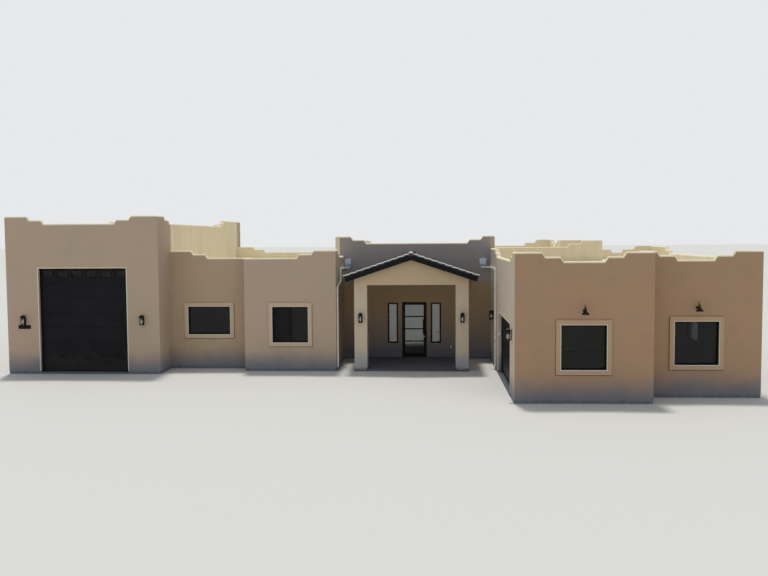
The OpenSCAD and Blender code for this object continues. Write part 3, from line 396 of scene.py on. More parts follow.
# porch trim: painted shade over the foot of the columns
STUCCO_TRIM = stucco("sand_stucco_trim", TRIM_TAN, walls=False, high_tones=GABLE_TAN, foot_shade_tone=TRIM_FOOT_SHADE)
# the entry court: painted shade, and below the eaves more painted shade and bounce light
STUCCO_COURT_SHADE = stucco("sand_stucco_court_painted_shade", SHADED_COURT_TAN, painted_eaves_shade=True)
STUCCO_SURROUND = stucco("sand_stucco_surround", WING_SURROUND_TAN, walls=False, side_tones=SURROUND_TAN)
ROOF_COATING = roof_coating()
CONCRETE = concrete()
ROOF_TILE = roof_tile("charcoal_tile")
RAKE_TILE = roof_tile("charcoal_rake_tile", painted_glint_edge=True)
BLACK_METAL = painted("black_powder_coat", (9, 9, 10), (18, 18, 20), 0.42, dusty=0.12, shine=0.16)
BLACK_TRIM = painted("black_trim_paint", (14, 14, 17), (25, 25, 28), 0.5, grain=60.0, dusty=0.15, shine=0.16)
GARAGE_PAINT = garage_paint()
# bluish sheet metal: its light blue is partly painted sky light
GREY_SHEET = painted("blue_grey_sheet", (202, 221, 241), (214, 224, 236), 0.42, metallic=0.12, grain=40.0)
WHITE_SHEET = painted("white_sheet", (247, 246, 243), (236, 234, 228), 0.34,
                      metallic=0.3, grain=50.0, dusty=0.15)
# Casing beads, whose pale colour is partly a painted highlight on the openings' edges
CASING_BEAD_AND_HIGHLIGHT = painted("casing_bead", (236, 228, 213), (224, 214, 197), 0.7, grain=200.0, dusty=0.1)
# Painted shadow: dark brown strips round the window surrounds
SHADOW_LINE_PAINT = painted("painted_shadow_line", (74, 62, 52), (92, 78, 66), 0.7, grain=120.0)
SCREED = painted("weep_strip", (158, 148, 138), (140, 131, 122), 0.6, grain=90.0)
RUBBER = painted("black_seal", (12, 12, 13), (22, 22, 22), 0.72, grain=220.0, shine=0.2)
WINDOW_GLASS = glass("window_glass_grey", (128, 138, 138), 1.32)
DOOR_GLASS = glass("entry_glass_reflective", (190, 204, 200), 2.1)
LAMP_GLASS = glass("lantern_glass_clear", (238, 240, 236), 1.46)
SCREEN = insect_screen()
LAMP_WHITE = painted("frosted_lamp_white", (236, 228, 208), (224, 214, 190), 0.35, grain=80.0, dusty=0.05)

LOOKS = {
    "stucco": STUCCO_WALL, "concrete": CONCRETE, "roof_coating": ROOF_COATING, "roof_tile": ROOF_TILE,
    "black_trim": BLACK_TRIM, "black_metal": BLACK_METAL, "garage_door_paint": GARAGE_PAINT,
    "grey_sheet_metal": GREY_SHEET, "white_sheet_metal": WHITE_SHEET, "glass": WINDOW_GLASS,
}
for part in frame["record"]["subparts"]:
    materials = NODES[part["node"]].data.materials
    materials.clear()
    materials.append(LOOKS[part["material_slot"]])

TRIM_NODES = ("porch_columns", "porch_gable", "porch_side_beams", "porch_ceiling", "window_surrounds")
WALL_NODES = [name for name in NODES if "wall" in name and name != "wall_plates"]

# Looks of single nodes, a later one going over an earlier one
OWN_LOOKS = [
    (TRIM_NODES, STUCCO_TRIM),
    ([name for name in WALL_NODES if name.startswith("wing_")], STUCCO_WING),
    (["entry_walls", "entry_wall_header", "hall_left_wall"], STUCCO_COURT_SHADE),
    (["bedroom_front_wall"], STUCCO_RECESS_SHADE),
    (["wing_left_wall"], STUCCO_LIT_SIDE),
    (["window_surrounds"], STUCCO_SURROUND),
    (["entry_door_glass"], DOOR_GLASS),
]
for names, look in OWN_LOOKS:
    for name in names:
        NODES[name].data.materials[0] = look

# The sidelites' panes, round the porch's middle, are as reflective as the entry door's
SIDELITE_X, SIDELITE_Y = 1.6, 0.3
glass_mesh = NODES["window_glass"].data
glass_mesh.materials.append(DOOR_GLASS)
for face in glass_mesh.polygons:
    if abs(face.center.x - X_PORCH) < SIDELITE_X and abs(face.center.y - Y_ENTRY) < SIDELITE_Y:
        face.material_index = 1


# Rounded edges: modifiers over the CAD meshes, which cut back their sharp edges

SAME_POINT = 1e-5
FLAT_ANGLE = 0.003
SHARP_ANGLE = 0.7
FOLD_ANGLE = 0.5
# A normal that rises less than the first is a wall's, and one that rises more than the second a top's
UPRIGHT_Z = 0.1
TOP_Z = 0.3
CORNER_NEAR = 0.002
PROBE_EVERY = 0.3
PROBE_OUT = 0.012
UPRIGHT_WEIGHT = 0.4
WALL_ROUNDING = 0.06
PORCH_ROUNDING = 0.04
PARAPETS_FROM = high("wing_roof").z + 0.1
SOFT_EDGES = {
    "window_surrounds": 0.008, "window_frames": 0.003, "entry_door_frame": 0.003, "entry_door": 0.002,
    "conductor_heads": 0.0012, "downspouts": 0.006,
}


def joined(node):
    """A CAD node's mesh with its faces joined along their edges."""
    mesh = bmesh.new()
    mesh.from_mesh(NODES[node].data)
    bmesh.ops.remove_doubles(mesh, verts=mesh.verts, dist=SAME_POINT)
    return mesh


def soften(node, width, limit, segments):
    """Bevels a CAD node, over flat faces that are first made whole."""
    shown = NODES[node]
    shown.data.attributes.remove(shown.data.attributes["custom_normal"])
    shown.modifiers.new("join", "WELD").merge_threshold = SAME_POINT
    flat = shown.modifiers.new("flat", "DECIMATE")
    flat.decimate_type = "DISSOLVE"
    flat.angle_limit = FLAT_ANGLE
    bevel = shown.modifiers.new("edges", "BEVEL")
    bevel.width = width
    bevel.segments = segments
    bevel.limit_method = limit
    bevel.angle_limit = SHARP_ANGLE
    bevel.use_clamp_overlap = limit == "ANGLE"
    bevel.loop_slide = False


STUCCO_TREES = [(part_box(n), BVHTree.FromBMesh(joined(n))) for n in (*WALL_NODES, *TRIM_NODES, "porch_roof")]
UPWARD = Vector((0.037, 0.021, 0.999)).normalized()


def buried(point):
    """Whether a point is within a stucco solid or the porch roof, from the crossings of a ray."""
    for (lo, hi), tree in STUCCO_TREES:
        if all(lo[i] < point[i] < hi[i] for i in range(3)):
            start = point
            crossings = 0
            while (hit := tree.ray_cast(start, UPWARD)[0]) is not None:
                start = hit + UPWARD * SAME_POINT
                crossings += 1
            if crossings % 2:
                return True
    return False


def rounded_place(vert):
    """A vertex's place, rounded to be the same in two meshes."""
    return tuple(round(c, 4) for c in vert.co)


def free_edges(node, corners, floor):
    """Weights of the edges to round, by their end points: along the top, and the upright ones.

    Upright edges away from given plan corners stay sharp, and so do tops below the floor height, such as
    window sills, and what another stucco solid covers.
    """
    found = {}
    mesh = joined(node)
    for edge in mesh.edges:
        if len(edge.link_faces) != 2 or not edge.is_convex or edge.calc_face_angle(0) < FOLD_ANGLE:
            continue
        a, b = (face.normal for face in edge.link_faces)
        start, end = (vert.co for vert in edge.verts)
        steep, level = sorted((abs(a.z), abs(b.z)))
        upright = level < UPRIGHT_Z
        if upright:
            if corners and not any(math.hypot(start.x - x, start.y - y) < CORNER_NEAR for x, y in corners):
                continue
        elif max(a.z, b.z) < TOP_Z or steep > UPRIGHT_Z or min(start.z, end.z) < floor:
            continue
        count = max(3, int(edge.calc_length() / PROBE_EVERY))
        probes = [start.lerp(end, (k + 0.5) / count) for k in range(count)]
        beside = (a - b) * PROBE_OUT
        if not any(buried(p + beside) or buried(p - beside) for p in probes):
            found[frozenset(map(rounded_place, edge.verts))] = UPRIGHT_WEIGHT if upright else 1.0
    mesh.free()
    return found


def round_free_edges(node, width, corners=None, floor=0.0):
    """Bevels the free edges of a CAD node alone."""
    data = NODES[node].data
    found = free_edges(node, corners, floor)
    points = [rounded_place(vert) for vert in data.vertices]
    weights = data.attributes.new("bevel_weight_edge", "FLOAT", "EDGE")
    for k, edge in enumerate(data.edges):
        weights.data[k].value = found.get(frozenset(points[v] for v in edge.vertices), 0.0)
    soften(node, width, "WEIGHT", segments=4)


for name in WALL_NODES:
    round_free_edges(name, WALL_ROUNDING, FOOTPRINT, PARAPETS_FROM)
for name in ("porch_columns", "porch_gable"):
    round_free_edges(name, PORCH_ROUNDING)
for name, width in SOFT_EDGES.items():
    soften(name, width, "ANGLE", segments=2)


# Mesh building

POLE_MERGE = 1e-6


def close_between(part, first, last):
    """Makes a solid between two outlines of equally many vertices."""
    part.faces.new(first)
    part.faces.new(last[::-1])
    for i in range(len(first)):
        j = (i + 1) % len(first)
        part.faces.new((first[i], last[i], last[j], first[j]))
    bmesh.ops.recalc_face_normals(part, faces=part.faces)


class Shape:
    """A piece of bevelled bars, prisms and turned profiles in one mesh."""

    def __init__(self):
        self.mesh = bmesh.new()
        self.tone = self.mesh.faces.layers.float.new("tone")

    def take(self, part, place, tone=0.0):
        """Adds a part at its place. tone is what a tile's material reads."""
        part.transform(place)
        lent = bpy.data.meshes.new("lent")
        part.to_mesh(lent)
        part.free()
        old = len(self.mesh.faces)
        self.mesh.from_mesh(lent)
        bpy.data.meshes.remove(lent)
        self.mesh.faces.ensure_lookup_table()
        for face in self.mesh.faces[old:]:
            face[self.tone] = tone

    def bar(self, corner, opposite, place=Matrix(), bevel=0.002):
        """A box between two opposite corners."""
        lo, hi = span((corner, opposite))
        size = hi - lo
        part = bmesh.new()
        fit = Matrix.Translation((lo + hi) / 2) @ Matrix.Diagonal((*size, 1))
        bmesh.ops.create_cube(part, size=1, matrix=fit)
        if bevel:
            reach = min(bevel, min(size) / 3)
            bmesh.ops.bevel(part, geom=part.edges[:], offset=reach, segments=1, affect="EDGES")
        self.take(part, place)

    def ring(self, x0, x1, z0, z1, width, y0, y1, place=Matrix(), bevel=0.002):
        """Four bars round a rectangle in the XZ plane, inside it."""
        z_in, z_out = z0 + width, z1 - width
        for left, right, foot, head in ((x0, x1, z0, z_in), (x0, x1, z_out, z1),
                                        (x0, x0 + width, z_in, z_out), (x1 - width, x1, z_in, z_out)):
            self.bar((left, y0, foot), (right, y1, head), place, bevel)

    def prism(self, outline, x0, x1, place=Matrix(), tone=0.0):
        """An outline of (y, z) points drawn along X."""
        part = bmesh.new()
        close_between(part, *([part.verts.new((x, y, z)) for y, z in outline] for x in (x0, x1)))
        self.take(part, place, tone)

    def turned(self, profile, place=Matrix(), steps=24):
        """A profile of (radius, height) points turned about Z."""
        part = bmesh.new()
        angles = [2 * math.pi * k / steps for k in range(steps)]
        rings = [[part.verts.new((r * math.cos(a), r * math.sin(a), z)) for a in angles] for r, z in profile]
        for below, above in zip(rings, rings[1:]):
            for k in range(steps):
                following = (k + 1) % steps
                face = part.faces.new((below[k], below[following], above[following], above[k]))
                face.smooth = True
        bmesh.ops.remove_doubles(part, verts=part.verts, dist=POLE_MERGE)
        bmesh.ops.recalc_face_normals(part, faces=part.faces)
        self.take(part, place)

    def done(self, name, material, slot, body="house"):
        data = bpy.data.meshes.new(name)
        self.mesh.to_mesh(data)
        self.mesh.free()
        data.materials.append(material)
        piece = bpy.data.objects.new(name, data)
        bpy.context.scene.collection.objects.link(piece)
        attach(piece, body)
        return piece


def wall_place(x, y, z, turn=0.0):
    """Local frame on a wall: X along it, -Y out of it."""
    return Matrix.Translation((x, y, z)) @ Matrix.Rotation(math.radians(turn), 4, "Z")


def islands(node):
    """Each solid of a CAD node as a list of its points, in the order of their lowest corners."""
    mesh = joined(node)
    left = set(mesh.verts)
    found = []
    while left:
        todo = [left.pop()]
        points = []
        while todo:
            vert = todo.pop()
            points.append(vert.co.copy())
            for edge in vert.link_edges:
                other = edge.other_vert(vert)
                if other in left:
                    left.remove(other)
                    todo.append(other)
        found.append(points)
    mesh.free()
    return sorted(found, key=lambda points: [round(c, 3) for c in span(points)[0]])


def span(points):
    """Lowest and highest corner of a list of points."""
    return (Vector([min(p[i] for p in points) for i in range(3)]),
            Vector([max(p[i] for p in points) for i in range(3)]))


REAR_FROM_Y = 1.0


def outward(lo, hi):
    """Local frame of a flat thing on a wall, at the middle of its outer face's foot, and its width."""
    middle = (lo + hi) / 2
    if hi.x - lo.x > hi.y - lo.y:
        front = middle.y < REAR_FROM_Y
        return wall_place(middle.x, lo.y if front else hi.y, lo.z, 0 if front else 180), hi.x - lo.x
    right = middle.x > 0
    return wall_place(hi.x if right else lo.x, middle.y, lo.z, 90 if right else -90), hi.y - lo.y


# Porch roof: single tiles in courses, rake tiles, ridge caps

COURSES = 10
SLOPE = 1 / 3
TILE_W = 0.33
TILE_T = 0.02
TILE_HEAD_T = 0.008
TILE_GAP = 0.003
TILE_LAP = 0.045
LEAST_TILE_W = 0.03
TAIL_LIFT = 0.055
HEAD_LIFT = 0.018
LEAST_LIFT = 0.012
RIDGE_GAP = 0.01
tile_lo, tile_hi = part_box("porch_tiles")
roof_half = (tile_hi.x - tile_lo.x) / 2
exposure = roof_half / COURSES
ridge_z = tile_lo.z + roof_half * SLOPE


def one_tile(side, y0, y1, tail, head):
    """A bevelled tile from tail to head, given as distances from the ridge and heights of its top."""
    part = bmesh.new()
    corners = []
    for (x, z), thickness in ((tail, TILE_T), (head, TILE_HEAD_T)):
        for y in (y0, y1):
            for down in (0, thickness):
                corners.append(part.verts.new((X_PORCH + side * x, y, z - down)))
    bmesh.ops.convex_hull(part, input=corners)
    bmesh.ops.dissolve_limit(part, angle_limit=0.02, verts=part.verts, edges=part.edges)
    bmesh.ops.bevel(part, geom=part.edges[:], offset=0.003, segments=1, affect="EDGES")
    bmesh.ops.recalc_face_normals(part, faces=part.faces)
    return part


def porch_tiles():
    """Courses of tiles up both slopes, each tile laid a little differently."""
    shape = Shape()
    for side in (-1, 1):
        for course in range(COURSES):
            reach = exposure + (TILE_LAP if course < COURSES - 1 else -RIDGE_GAP)
            y = tile_lo.y - (TILE_W / 2 if course % 2 else 0)
            while y < tile_hi.y:
                y0, y1 = max(y, tile_lo.y), min(y + TILE_W - TILE_GAP, tile_hi.y)
                y += TILE_W
                if y1 - y0 < LEAST_TILE_W:
                    continue
                start = roof_half - course * exposure + random.uniform(-0.003, 0.0)
                lift = TAIL_LIFT - random.uniform(0.0, 0.004)
                head_lift = lift - (lift - HEAD_LIFT) * reach / exposure
                ends = [(start - along, tile_lo.z + (roof_half - start + along) * SLOPE + max(up, LEAST_LIFT))
                        for along, up in ((0, lift), (reach, head_lift))]
                shape.take(one_tile(side, y0, y1, *ends), Matrix(), random.random())
    return shape


RAKE_OUTLINE = [
    (-0.014, -0.055), (-0.014, -0.006), (-0.012, 0.002), (-0.006, 0.011), (0.003, 0.017), (0.012, 0.019),
    (0.15, 0.019), (0.15, 0.005), (0.003, 0.003), (0.003, -0.055),
]
RAKE_LAP = 0.03
RAKE_TAIL_LIFT = TAIL_LIFT + 0.002
RAKE_HEAD_LIFT = 0.026
RIDGE_END = [
    (0, -0.026), (0.06, -0.026), (0.085, -0.018), (0.105, 0.0), (0.11, 0.02), (0.11, 0.17), (0, 0.17),
]


def rake_tiles():
    """L-shaped tiles over the front edge, each tail over the head of the next, and the ridge's round end."""
    shape = Shape()
    for side in (-1, 1):
        for course in range(COURSES):
            far = roof_half - course * exposure
            near = max(far - exposure - RAKE_LAP, 0.0)
            tail, head = [(X_PORCH + side * d, tile_lo.z + (roof_half - d) * SLOPE + lift)
                          for d, lift in ((far, RAKE_TAIL_LIFT), (near, RAKE_HEAD_LIFT))]
            (x0, z0), (x1, z1) = sorted((tail, head))
            tilt = Matrix.Rotation(-math.atan2(z1 - z0, x1 - x0), 4, "Y")
            place = Matrix.Translation((x0, tile_lo.y, z0)) @ tilt
            shape.prism(RAKE_OUTLINE, 0.0, math.hypot(x1 - x0, z1 - z0), place, random.random())
    forward = Matrix.Rotation(-math.pi / 2, 4, "X")
    shape.turned(RIDGE_END, Matrix.Translation((X_PORCH, tile_lo.y, ridge_z)) @ forward, 32)
    return shape


CAP_HALF = 0.15
CAP_STEP = 0.37
CAP_LAP = 0.05
CAP_T = 0.018
CAP_TAIL_LIFT = 0.068
CAP_HEAD_LIFT = 0.05
CAP_BEND = (0.03, -0.008)
CAP_SIDE = [(CAP_HALF, -CAP_HALF * SLOPE), CAP_BEND]
CAP_TOP = [(-x, z) for x, z in CAP_SIDE] + [(0, 0.0)] + CAP_SIDE[::-1]
CAP_OUTLINE = [(x, z, 0.0) for x, z in CAP_TOP] + [(x, z, CAP_T) for x, z in reversed(CAP_TOP)]


def ridge_caps():
    """Bent caps over the ridge, each tail lying on the head of the next."""
    shape = Shape()
    for k in range(math.ceil((tile_hi.y - tile_lo.y) / CAP_STEP)):
        y0 = tile_lo.y + k * CAP_STEP
        y1 = min(y0 + CAP_STEP + CAP_LAP, tile_hi.y)
        part = bmesh.new()
        rows = [[part.verts.new((X_PORCH + x, y, ridge_z + (z + lift - down))) for x, z, down in CAP_OUTLINE]
                for y, lift in ((y0, CAP_TAIL_LIFT), (y1, CAP_HEAD_LIFT))]
        close_between(part, *rows)
        shape.take(part, Matrix(), random.random())
    return shape


tiles = porch_tiles().done("porch_roof_tiles", ROOF_TILE, "roof_tile")
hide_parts("porch_tiles")
rake_tiles().done("porch_rake_tiles", RAKE_TILE, "roof_tile")
ridge_caps().done("porch_ridge_caps", ROOF_TILE, "roof_tile")


# Windows: glazing beads, sliding sashes, screens, casing beads round the openings, pale partly as a painted
# highlight, and a painted shadow line round each surround

FRAME_FACE = 0.05
GLASS_FRONT = 0.03
GLAZING_BEAD_W = 0.02
SASH_FRONT = 0.002
SASH_BACK = 0.012
SASH_W = 0.036
SCREEN_IN = 0.03
WEEP_HALF = 0.02

beads, rails, screens, casings, shadow_lines = (Shape() for _ in range(5))
for points in islands("window_frames"):
    lo, hi = span(points)
    place, width = outward(lo, hi)
    inside = width / 2 - FRAME_FACE
    height = hi.z - lo.z
    foot, head = FRAME_FACE, height - FRAME_FACE
    slides = any(abs((place.inverted() @ p).x) < FRAME_FACE * 0.6 for p in points)
    panes = [(-inside, -FRAME_FACE / 2), (FRAME_FACE / 2, inside)] if slides else [(-inside, inside)]
    for x0, x1 in panes:
        beads.ring(x0, x1, foot, head, GLAZING_BEAD_W, SASH_BACK, GLASS_FRONT, place, 0.004)
    if slides:
        x0, x1 = panes[0]
        rails.ring(x0, x1, foot, head, SASH_W, SASH_FRONT, SASH_BACK, place)
        # the sash's pull
        rails.bar((x1 - 0.024, -0.012, height * 0.42), (x1 - 0.008, SASH_FRONT, height * 0.58), place, 0.004)
        screens.bar((x0 + SCREEN_IN, 0.006, foot + SCREEN_IN), (x1 - SCREEN_IN, 0.0075, head - SCREEN_IN),
                    place, 0)
    # weep slots in the sill of the frame
    for x in (-width * 0.3, width * 0.3):
        rails.bar((x - WEEP_HALF, -0.002, 0.012), (x + WEEP_HALF, SASH_FRONT, 0.02), place, 0.001)
beads.done("window_glazing_beads", BLACK_METAL, "black_metal")
rails.done("window_sash_rails", BLACK_METAL, "black_metal")
screens.done("window_screens", SCREEN, "black_metal")

BEAD_W = 0.02
SHADOW_LINE_W = 0.012
for points in islands("window_surrounds"):
    lo, hi = span(points)
    place, width = outward(lo, hi)
    half = width / 2
    inner = min(abs((place.inverted() @ p).x) for p in points)
    border = half - inner
    top = hi.z - lo.z
    back = min(hi.x - lo.x, hi.y - lo.y)
    # pale casing bead inside the surround, partly a painted highlight
    casings.ring(-inner, inner, border, top - border, BEAD_W, 0.001, 0.03, place, 0.003)
    # painted shadow: a dark brown strip where the surround meets the wall, widest below it, for the shade the
    # surround casts
    for x0, x1, z0, z1 in ((-half - SHADOW_LINE_W, half + SHADOW_LINE_W, -2 * SHADOW_LINE_W, 0.0),
                           (-half - SHADOW_LINE_W, -half, 0.0, top), (half, half + SHADOW_LINE_W, 0.0, top)):
        shadow_lines.bar((x0, back - 0.003, z0), (x1, back + 0.001, z1), place, 0.001)
shadow_lines.done("window_surround_shadow_lines", SHADOW_LINE_PAINT, "stucco")


# Garage doors: stops, seals, frames round the lites, casing beads

DOOR_LAP = 0.04
STOP_T = 0.016
STOP_FRONT = -0.05
STOP_BACK = -0.004
SEAL_T = 0.012
SEAL_H = 0.045
CASING_T = 0.006
CASING_D = 0.04
FLANGE_W = 0.028
FLANGE_T = 0.003
LITE_LAP = 0.022
LITE_FRAME_W = 0.028
LITE_FLOOR_Z = 3.5

stops, seals, lite_frames = Shape(), Shape(), Shape()
for node, turn in (("tall_door", 0), ("side_door", -90)):
    lo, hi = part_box(node)
    middle = (lo + hi) / 2
    if turn == 0:
        place, width = wall_place(middle.x, lo.y, lo.z), hi.x - lo.x
    else:
        place, width = wall_place(lo.x, middle.y, lo.z, turn), hi.y - lo.y
    half = width / 2 - DOOR_LAP
    height = hi.z - lo.z - DOOR_LAP
    stem_top = STEM_H - lo.z
    # the beads' pale colour is partly a painted highlight on the opening's edges
    # the casing beads lie within the opening, their flanges round it on the wall's face
    face, casing_back = -WALL + 0.001, -WALL + CASING_D
    flange_front = -WALL - FLANGE_T
    for side in (-1, 1):
        edge = side * half
        stops.bar((edge, STOP_FRONT, 0), (side * (half - STOP_T), STOP_BACK, height), place, 0.004)
        seals.bar((side * (half - STOP_T), -0.012, 0),
                  (side * (half - STOP_T - SEAL_T), -0.001, height - STOP_T), place, 0.003)
        casings.bar((edge, face, stem_top), (side * (half - CASING_T), casing_back, height), place, 0.002)
        casings.bar((edge, flange_front, stem_top),
                    (side * (half + FLANGE_W), face, height + FLANGE_W), place, 0.001)
    stops.bar((-half, STOP_FRONT, height - STOP_T), (half, STOP_BACK, height), place, 0.004)
    casings.bar((-half, face, height - CASING_T), (half, casing_back, height), place, 0.002)
    casings.bar((-half, flange_front, height), (half, face, height + FLANGE_W), place, 0.001)
    seals.bar((-half + STOP_T, -0.008, 0.0), (half - STOP_T, -0.0005, SEAL_H), place, 0.004)
for points in islands("window_glass"):
    lo, hi = span(points)
    if lo.z > LITE_FLOOR_Z:
        place = wall_place((lo.x + hi.x) / 2, low("tall_door").y, lo.z)
        reach = (hi.x - lo.x) / 2 + LITE_LAP
        lite_frames.ring(-reach, reach, -LITE_LAP, hi.z - lo.z + LITE_LAP, LITE_FRAME_W, -0.009, -0.0005,
                         place, 0.004)
stops.done("garage_door_stops", BLACK_METAL, "black_metal")
seals.done("garage_door_seals", RUBBER, "black_metal")
lite_frames.done("tall_door_lite_frames", BLACK_METAL, "garage_door_paint")
casings.done("opening_casing_beads", CASING_BEAD_AND_HIGHLIGHT, "stucco")


# Metal strip under the stucco, above the bare foundation

STRIP_END = 0.012
STRIP_OUTLINE = [
    (0.001, -0.0005), (0.001, -0.01), (0.004, -0.01), (STEM_IN + 0.0005, -0.003), (STEM_IN + 0.0005, -0.0005),
]
DOORWAYS = [("tall_door", DOOR_LAP), ("side_door", DOOR_LAP), ("entry_door_frame", 0.0)]
DOOR_NEAR = 0.4


def strip_stretches(start, end):
    """The parts of a wall's foot that no doorway interrupts, as distances from start."""
    start, end = Vector((*start, 0)), Vector((*end, 0))
    along = (end - start).normalized()
    across = Vector((along.y, -along.x, 0))
    stretches = [(0.0, (end - start).length)]
    for node, lap in DOORWAYS:
        lo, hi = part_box(node)
        middle = Vector(((lo.x + hi.x) / 2, (lo.y + hi.y) / 2, 0)) - start
        if abs(middle @ across) > DOOR_NEAR or not 0 < middle @ along < stretches[-1][1]:
            continue
        reach = abs(Vector((hi.x - lo.x, hi.y - lo.y, 0)) @ along) / 2 - lap
        first, last = stretches.pop()
        stretches += [(first, middle @ along - reach), (middle @ along + reach, last)]
    return stretches


strip = Shape()
for start, end in zip(FOOTPRINT, FOOTPRINT[1:] + FOOTPRINT[:1]):
    turn = math.degrees(math.atan2(end[1] - start[1], end[0] - start[0]))
    place = wall_place(*start, STEM_H, turn)
    for first, last in strip_stretches(start, end):
        strip.prism(STRIP_OUTLINE, first + STRIP_END, last - STRIP_END, place)
strip.done("stucco_base_strip", SCREED, "grey_sheet_metal")


# Entry door: beads round the panes, plate behind the pull, lock

DOOR_BEAD_W = 0.012
LOCK_PROFILE = [
    (0, 0.012), (0.011, 0.012), (0.013, 0.009), (0.024, 0.008), (0.027, 0.004), (0.027, 0), (0, 0),
]
LOCK_DOWN = 0.07
# Turns a profile's height to point out of a front wall
OUT_OF_WALL = Matrix.Rotation(math.pi / 2, 4, "X")

leaf_face = min(v.co.y for v in NODES["entry_door"].data.vertices)
door_beads = Shape()
for points in islands("entry_door_glass"):
    lo, hi = span(points)
    rear = high("entry_door_glass").y + lo.y - leaf_face - 0.001
    for y0, y1 in ((leaf_face + 0.001, lo.y), (hi.y, rear)):
        door_beads.ring(lo.x, hi.x, lo.z, hi.z, DOOR_BEAD_W, y0, y1, Matrix(), 0.003)
door_beads.done("entry_door_beads", BLACK_METAL, "black_metal", "entry_door")

pull_lo, pull_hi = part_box("entry_door_pull")
pull_x = (pull_lo.x + pull_hi.x) / 2
plate = Shape()
plate.bar((pull_x - 0.085, leaf_face - 0.005, pull_lo.z + 0.02),
          (pull_x + 0.014, leaf_face - 0.0005, pull_hi.z - 0.02))
plate.done("entry_door_pull_plate", BLACK_METAL, "black_metal", "entry_door")
lock = Shape()
lock.turned(LOCK_PROFILE, Matrix.Translation((pull_x, leaf_face, pull_lo.z - LOCK_DOWN)) @ OUT_OF_WALL)
lock.done("entry_door_lock", GREY_SHEET, "black_metal", "entry_door")


# Lanterns: glass tubes with a candle lamp inside

TUBE_T = 0.003
TUBE_END = 0.0005

tubes, candles = Shape(), Shape()
for points in islands("lantern_glass"):
    lo, hi = span(points)
    place = Matrix.Translation(((lo.x + hi.x) / 2, (lo.y + hi.y) / 2, lo.z))
    r, h = (hi.x - lo.x) / 2, hi.z - lo.z
    tubes.turned([(r, TUBE_END), (r, h - TUBE_END), (r - TUBE_T, h - TUBE_END), (r - TUBE_T, TUBE_END),
                  (r, TUBE_END)], place, 32)
    candles.turned([(0, 0.0), (0.024, 0.0), (0.024, 0.01), (0.016, 0.014), (0.016, h * 0.1), (0.03, h * 0.16),
                    (0.034, h * 0.3), (0.034, h * 0.55), (0.03, h * 0.66), (0.018, h * 0.74), (0, h * 0.76)],
                   place)
lantern_tubes = tubes.done("lantern_tubes", LAMP_GLASS, "glass")
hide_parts("lantern_glass")
candles.done("lantern_lamps", LAMP_WHITE, "white_sheet_metal")


# Gooseneck shades: white inside, with a bulb

LINING_T = 0.0015
BULB = [(0, 0.0), (0.017, 0.004), (0.029, 0.02), (0.029, 0.034), (0.015, 0.062), (0.014, 0.085), (0, 0.085)]
BULB_UP = Matrix.Translation((0, 0, 0.035))

shades = Shape()
for points in islands("gooseneck_lamps"):
    lo, hi = span(points)
    radius = max(abs(p.x - (lo.x + hi.x) / 2) for p in points)
    place = Matrix.Translation(((lo.x + hi.x) / 2, lo.y + radius, lo.z))
    outer = [(radius - 0.0065, 0.0005), (0.1035, 0.0283), (0.0685, 0.067), (0.0385, 0.108), (0.0, 0.1405)]
    inner = [(max(r - LINING_T, 0), z - LINING_T) for r, z in reversed(outer[1:])]
    shades.turned([*outer, *inner, (radius - 0.009, 0.0005), outer[0]], place, 32)
    shades.turned(BULB, place @ BULB_UP, 16)
shades.done("gooseneck_linings", LAMP_WHITE, "white_sheet_metal")


# Rainwater: straps on the downspouts, rims and curved lids on the conductor heads

STRAP_NEAR = 0.0005
STRAP_FAR = 0.003
STRAP_H = 0.03
STRAP_EAR = 0.03
STRAP_FOOT_UP, STRAP_MIDDLE_DOWN, STRAP_TOP_DOWN = 0.35, 0.3, 1.3
LEAST_DOWNSPOUT_H = 1.0
LID_RISE = 0.045
LID_STEPS = 12
RIM_OUT = 0.008
RIM_NEAR = 0.0005
RIM_FOOT, RIM_TOP = -0.03, -0.002
RIVET_HALF = 0.008

straps, rims = Shape(), Shape()
for points in islands("downspouts"):
    lo, hi = span(points)
    if hi.z - lo.z < LEAST_DOWNSPOUT_H:
        continue
    foot = [p for p in points if p.z < lo.z + NEAR]
    y0, y1 = min(p.y for p in foot), max(p.y for p in foot)
    foot_x = (min(p.x for p in foot), max(p.x for p in foot))
    left = (lo.x + hi.x) / 2 < X_PORCH
    wall_x, face_x = foot_x if left else foot_x[::-1]
    out = 1 if left else -1
    wall_side = wall_x + out * 0.001
    front = face_x + out * STRAP_FAR
    for z in (lo.z + STRAP_FOOT_UP, (lo.z + hi.z) / 2 - STRAP_MIDDLE_DOWN, hi.z - STRAP_TOP_DOWN):
        for xa, xb, ya, yb in ((wall_side, front, y0 - STRAP_FAR, y0 - STRAP_NEAR),
                               (wall_side, front, y1 + STRAP_NEAR, y1 + STRAP_FAR),
                               (face_x + out * STRAP_NEAR, front, y0 - STRAP_FAR, y1 + STRAP_FAR),
                               (wall_side, wall_x + out * STRAP_FAR, y0 - STRAP_EAR, y1 + STRAP_EAR)):
            straps.bar((xa, ya, z), (xb, yb, z + STRAP_H), bevel=0.0005)
